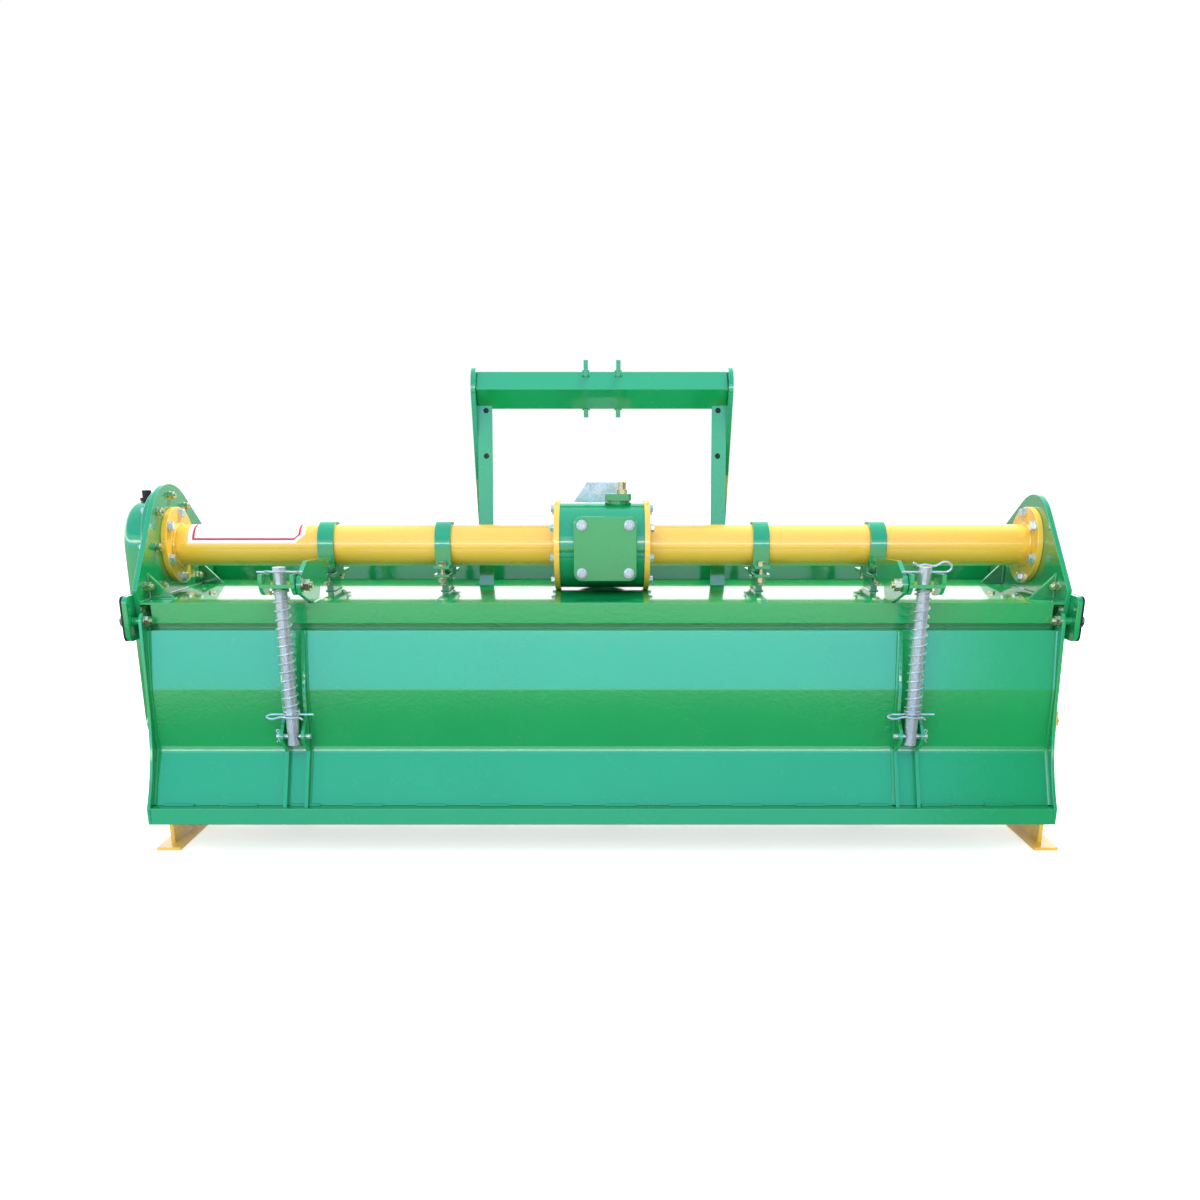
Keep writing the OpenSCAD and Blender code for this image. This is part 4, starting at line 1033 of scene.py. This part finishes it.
def board_welds():
    """Beads on the trailing board: ribs, end plates and the stitched rail."""
    proud, stitch = 1.0, 70.0
    rail_y, rail_z = BOARD_PROFILE[-1]
    lines = []
    for side in SIDES:
        for x in (STRUT_X - RIB_HALF, STRUT_X + RIB_HALF, BOARD_END_X - 1.0):
            lines.append([at(side * x, y - proud, z) for y, z in BOARD_PROFILE])
    for start in range(-1040, 1000, 150):
        lines.append([at(x, rail_y - 2 * proud, rail_z) for x in (start, start + stitch)])
    weld_piece("board_welds", lines, 0.0040, 0.009, green_paint, "board")


def board_bend():
    """The rounded lower bend of the trailing board."""
    end_x, reach, proud, steps = 1064, 9.0, 0.1, 8
    above, bend, below = [Vector((y - proud, z)) for y, z in BOARD_PROFILE[1:]]
    above = bend + (above - bend).normalized() * reach
    below = bend + (below - bend).normalized() * reach
    turns = [i / steps for i in range(steps + 1)]
    outline = [above * (1 - t) ** 2 + bend * 2 * t * (1 - t) + below * t * t for t in turns]
    outline.append(bend + Vector((1.0, 0.0)))
    points = [at(x, *spot) for x in (-end_x, end_x) for spot in outline]
    bar = mesh_piece("board_bend", points, ring_faces(len(outline), 2), green_paint, "board")
    soften(bar, NO_EDGE)


def frame_welds():
    """Beads on the frame: gussets, arm feet, clamp stands, side plates and headstock."""
    foot_z = DECK_TOP_Z + 1.0
    wall_x = SIDE_INNER_X - 1.0
    wall_ends_y = (-254, 248)
    gusset_leg, gusset_faces_y = 58.0, (-189, -179, 141, 151)
    arm_faces_x, arm_ends_y = (673, 685), (-254, -198)
    clamp_half, clamp_ends_y = 9.0, (-40, 40)
    reel_radius, reel_half = 43, 6
    link_faces_x = (35, 49)
    link_seam = ((200, 1053), (247, 1100), (200, 1147), (187, 1134))
    lines = []
    for side in SIDES:
        for y in gusset_faces_y:
            corner = ((wall_x, foot_z + gusset_leg), (wall_x, foot_z), (wall_x - gusset_leg, foot_z))
            lines.append([at(side * x, y, z) for x, z in corner])
        lines.append([at(side * wall_x, y, foot_z) for y in wall_ends_y])
        for x in arm_faces_x:
            lines.append([at(side * x, y, foot_z) for y in arm_ends_y])
        for middle in CLAMPS_X:
            for x in (middle - clamp_half, middle + clamp_half):
                lines.append([at(side * x, y, foot_z) for y in clamp_ends_y])
        for x in link_faces_x:
            lines.append([at(side * x, y, z) for y, z in link_seam])
    weld_piece("frame_welds", lines, 0.0032, 0.006, green_paint, "frame")
    whole = range(0, 361, 6)
    tube_ends = (TUBE_FLANGE_X - 1.0, GEAR_FLANGE_X + 1.0)
    rings = [ring_x(side * x, TUBE_Z, TUBE_RADIUS + 1.0, whole) for side in SIDES for x in tube_ends]
    weld_piece("tube_welds", rings, 0.0040, 0.007, yellow_paint, "frame")
    reel = []
    for middle in ROTOR_FLANGES_X:
        for x in (middle - reel_half, middle + reel_half):
            reel.append(ring_x(x, ROTOR_Z, reel_radius, whole))
    weld_piece("rotor_welds", reel, 0.0035, 0.008, green_paint, "rotor")


def film(name, outline, finish, lift, thickness):
    """A thin film on the left tube; the outline gives its two X ends at each angle from the rear."""
    columns = 40
    points = []
    faces = []
    for angle, start, end in outline:
        for i in range(columns + 1):
            x = start + (end - start) * i / columns
            points += ring_x(x, TUBE_Z, TUBE_RADIUS + lift, (angle,))
    for row in range(len(outline) - 1):
        for i in range(columns):
            low = row * (columns + 1) + i
            faces.append((low, low + 1, low + columns + 2, low + columns + 1))
    mesh_piece(name, points, faces, finish, "frame", thickness=thickness / 1000.0)


def label_ends(angle, inset):
    """The label's two ends at an angle, with the slanted corner at its right end."""
    corner_angle, slope = 34.0, 1.05
    left, right = LABEL_ENDS_X
    return left + inset, right - max(0.0, corner_angle - angle) * slope - inset


def tube_label():
    """Plain white label with a red border on the left tube."""
    inset, border = 11.0, 5.5
    sheet = [(angle, *label_ends(angle, 0.0)) for angle in range(11, 136, 4)]
    film("tube_label", sheet, film_white, 0.25, 0.2)
    strips = {"low": [(angle, *label_ends(angle, inset)) for angle in (18, 20, 22, 23.5)],
              "left": [], "right": []}
    for angle in range(18, 124, 3):
        left, right = label_ends(angle, inset)
        strips["left"].append((angle, left, left + border))
        strips["right"].append((angle, right - border, right))
    for name, strip in strips.items():
        film("tube_label_border_" + name, strip, film_red, 0.45, 0.15)


def cheek_pads():
    """Black pads on the outer faces of the hinge cheeks."""
    corner, depth = 0.014, 0.004
    for side, name in NAMED_SIDES:
        low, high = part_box("hinge_cheek_" + name)
        inner = max(abs(low.x), abs(high.x))
        outline = []
        for y, z, start in ((high.y - corner, high.z - corner, 0), (low.y + corner, high.z - corner, 90),
                            (low.y + corner, low.z + corner, 180), (high.y - corner, low.z + corner, 270)):
            for angle in range(start, start + 91, 15):
                turn = math.radians(angle)
                outline.append((y + corner * math.cos(turn), z + corner * math.sin(turn)))
        points = [(side * x, *spot) for x in (inner, inner + depth) for spot in outline]
        mesh_piece("cheek_pad_" + name, points, ring_faces(len(outline), 2), black_plastic, "frame")


def shown_rays(tree):
    """What a ray is for, and whether it leads to the camera."""
    rays = put(tree, "ShaderNodeLightPath").outputs
    return rays, result_of(tree, "MAXIMUM", rays["Is Camera Ray"], rays["Is Transmission Ray"])


def studio_floor():
    """A pale floor that keeps the machine's shadow and fades into the white background."""
    half = FLOOR_HALF
    mesh = bpy.data.meshes.new("floor")
    mesh.from_pydata([(-half, -half, 0), (half, -half, 0), (half, half, 0), (-half, half, 0)], [],
                     [(0, 1, 2, 3)])
    floor = new_piece("floor", mesh)
    material, tree, shader = new_material("floor_pale")
    rays, shown = shown_rays(tree)
    bounce = scaled(tree, rays["Is Diffuse Ray"], FLOOR_BOUNCE)
    lift = result_of(tree, "MULTIPLY_ADD", shown, FLOOR_LIFT, bounce)
    fill(tree, shader, {"Base Color": FLOOR_PALE, "Roughness": 0.9, "Specular IOR Level": 0.0,
                        "Emission Color": WHITE, "Emission Strength": lift})
    mesh.materials.append(material)
    floor.visible_glossy = False


def ramp(tree, value, stops):
    """A colour that runs through the stops as the value runs from 0 to 1."""
    node = put(tree, "ShaderNodeValToRGB", {"Fac": value})
    while len(node.color_ramp.elements) < len(stops):
        node.color_ramp.elements.new(1.0)
    for element, (place, colour) in zip(node.color_ramp.elements, stops):
        element.position = place
        element.color = (*colour, 1.0)
    return node.outputs["Color"]


def studio_world():
    """Soft even light; paint and metal mirror a blue sky behind the camera and a white one ahead."""
    world = bpy.data.worlds.new("studio")
    world.use_nodes = True
    tree = world.node_tree
    light = tree.nodes["Background"]
    fill(tree, light, {"Color": WORLD_TINT, "Strength": WORLD_LIGHT})
    white = first(tree, "ShaderNodeBackground", {"Color": WHITE, "Strength": 1.0})
    direction = put(tree, "ShaderNodeTexCoord").outputs["Generated"]
    way = put(tree, "ShaderNodeSeparateXYZ", {0: direction}).outputs
    height = ranged(tree, way["Z"], -1.0, 1.0)
    dimmed = ranged(tree, way["X"], *DIM_RIGHT, 1.0, DIM_LEVEL)
    behind = first(tree, "ShaderNodeVectorMath", {0: ramp(tree, height, SKY_BEHIND), "Scale": dimmed},
                   operation="SCALE")
    sky = blended(tree, ranged(tree, way["Y"], *SKY_CHANGE), behind, ramp(tree, height, SKY_AHEAD))
    mirrored = first(tree, "ShaderNodeBackground", {"Color": sky, "Strength": MIRROR_LIGHT})
    rays, shown = shown_rays(tree)
    glossy = first(tree, "ShaderNodeMixShader", {0: rays["Is Glossy Ray"], 1: light.outputs[0],
                                                 2: mirrored})
    mix = first(tree, "ShaderNodeMixShader", {0: shown, 1: glossy, 2: white})
    fill(tree, tree.nodes["World Output"], {"Surface": mix})
    bpy.context.scene.world = world


def softbox(name, place, aim, size, power, tint):
    """A large soft lamp that the camera doesn't see itself."""
    lamp = bpy.data.lights.new(name, "AREA")
    lamp.shape = "RECTANGLE"
    lamp.size, lamp.size_y = size
    lamp.energy = power
    lamp.color = tint
    holder = new_piece(name, lamp)
    holder.location = place
    holder.rotation_euler = (Vector(aim) - Vector(place)).to_track_quat("-Z", "Y").to_euler()
    holder.visible_camera = False
    holder.visible_glossy = False


def photo_camera():
    """The camera at the photograph's viewing angle."""
    lens = bpy.data.cameras.new("photo_camera")
    lens.sensor_width = CAMERA_SENSOR
    lens.lens = CAMERA_LENS
    lens.shift_x, lens.shift_y = CAMERA_SHIFT
    camera = new_piece("photo_camera", lens)
    camera.location = CAMERA_PLACE
    camera.rotation_euler = (math.pi / 2 - CAMERA_PITCH, 0.0, 0.0)
    bpy.context.scene.camera = camera


finish_solids()
paint_filler_lid()
tube_fasteners()
hinge_fasteners()
gearbox_fasteners()
brace_hole_shade_bolts()
clamp_fasteners()
case_fasteners()
bearing_fasteners()
skid_fasteners()
deck_fasteners()
strut_fasteners()
cheek_pads()
drive_case()
rotor_fasteners()
strut_pieces()
board_welds()
board_bend()
frame_welds()
tube_label()
studio_floor()
studio_world()
softbox("sky_over_camera", place=(-0.8, -4.6, 3.6), aim=(0.0, 0.0, 0.5), size=(4.5, 2.6), power=165.0,
        tint=SKY_TINT)
softbox("sun_ahead", place=(0.9, 2.6, 4.6), aim=(0.0, 0.0, 0.6), size=(1.6, 1.6), power=400.0,
        tint=SUN_TINT)
photo_camera()
bpy.context.scene.view_settings.view_transform = "Standard"
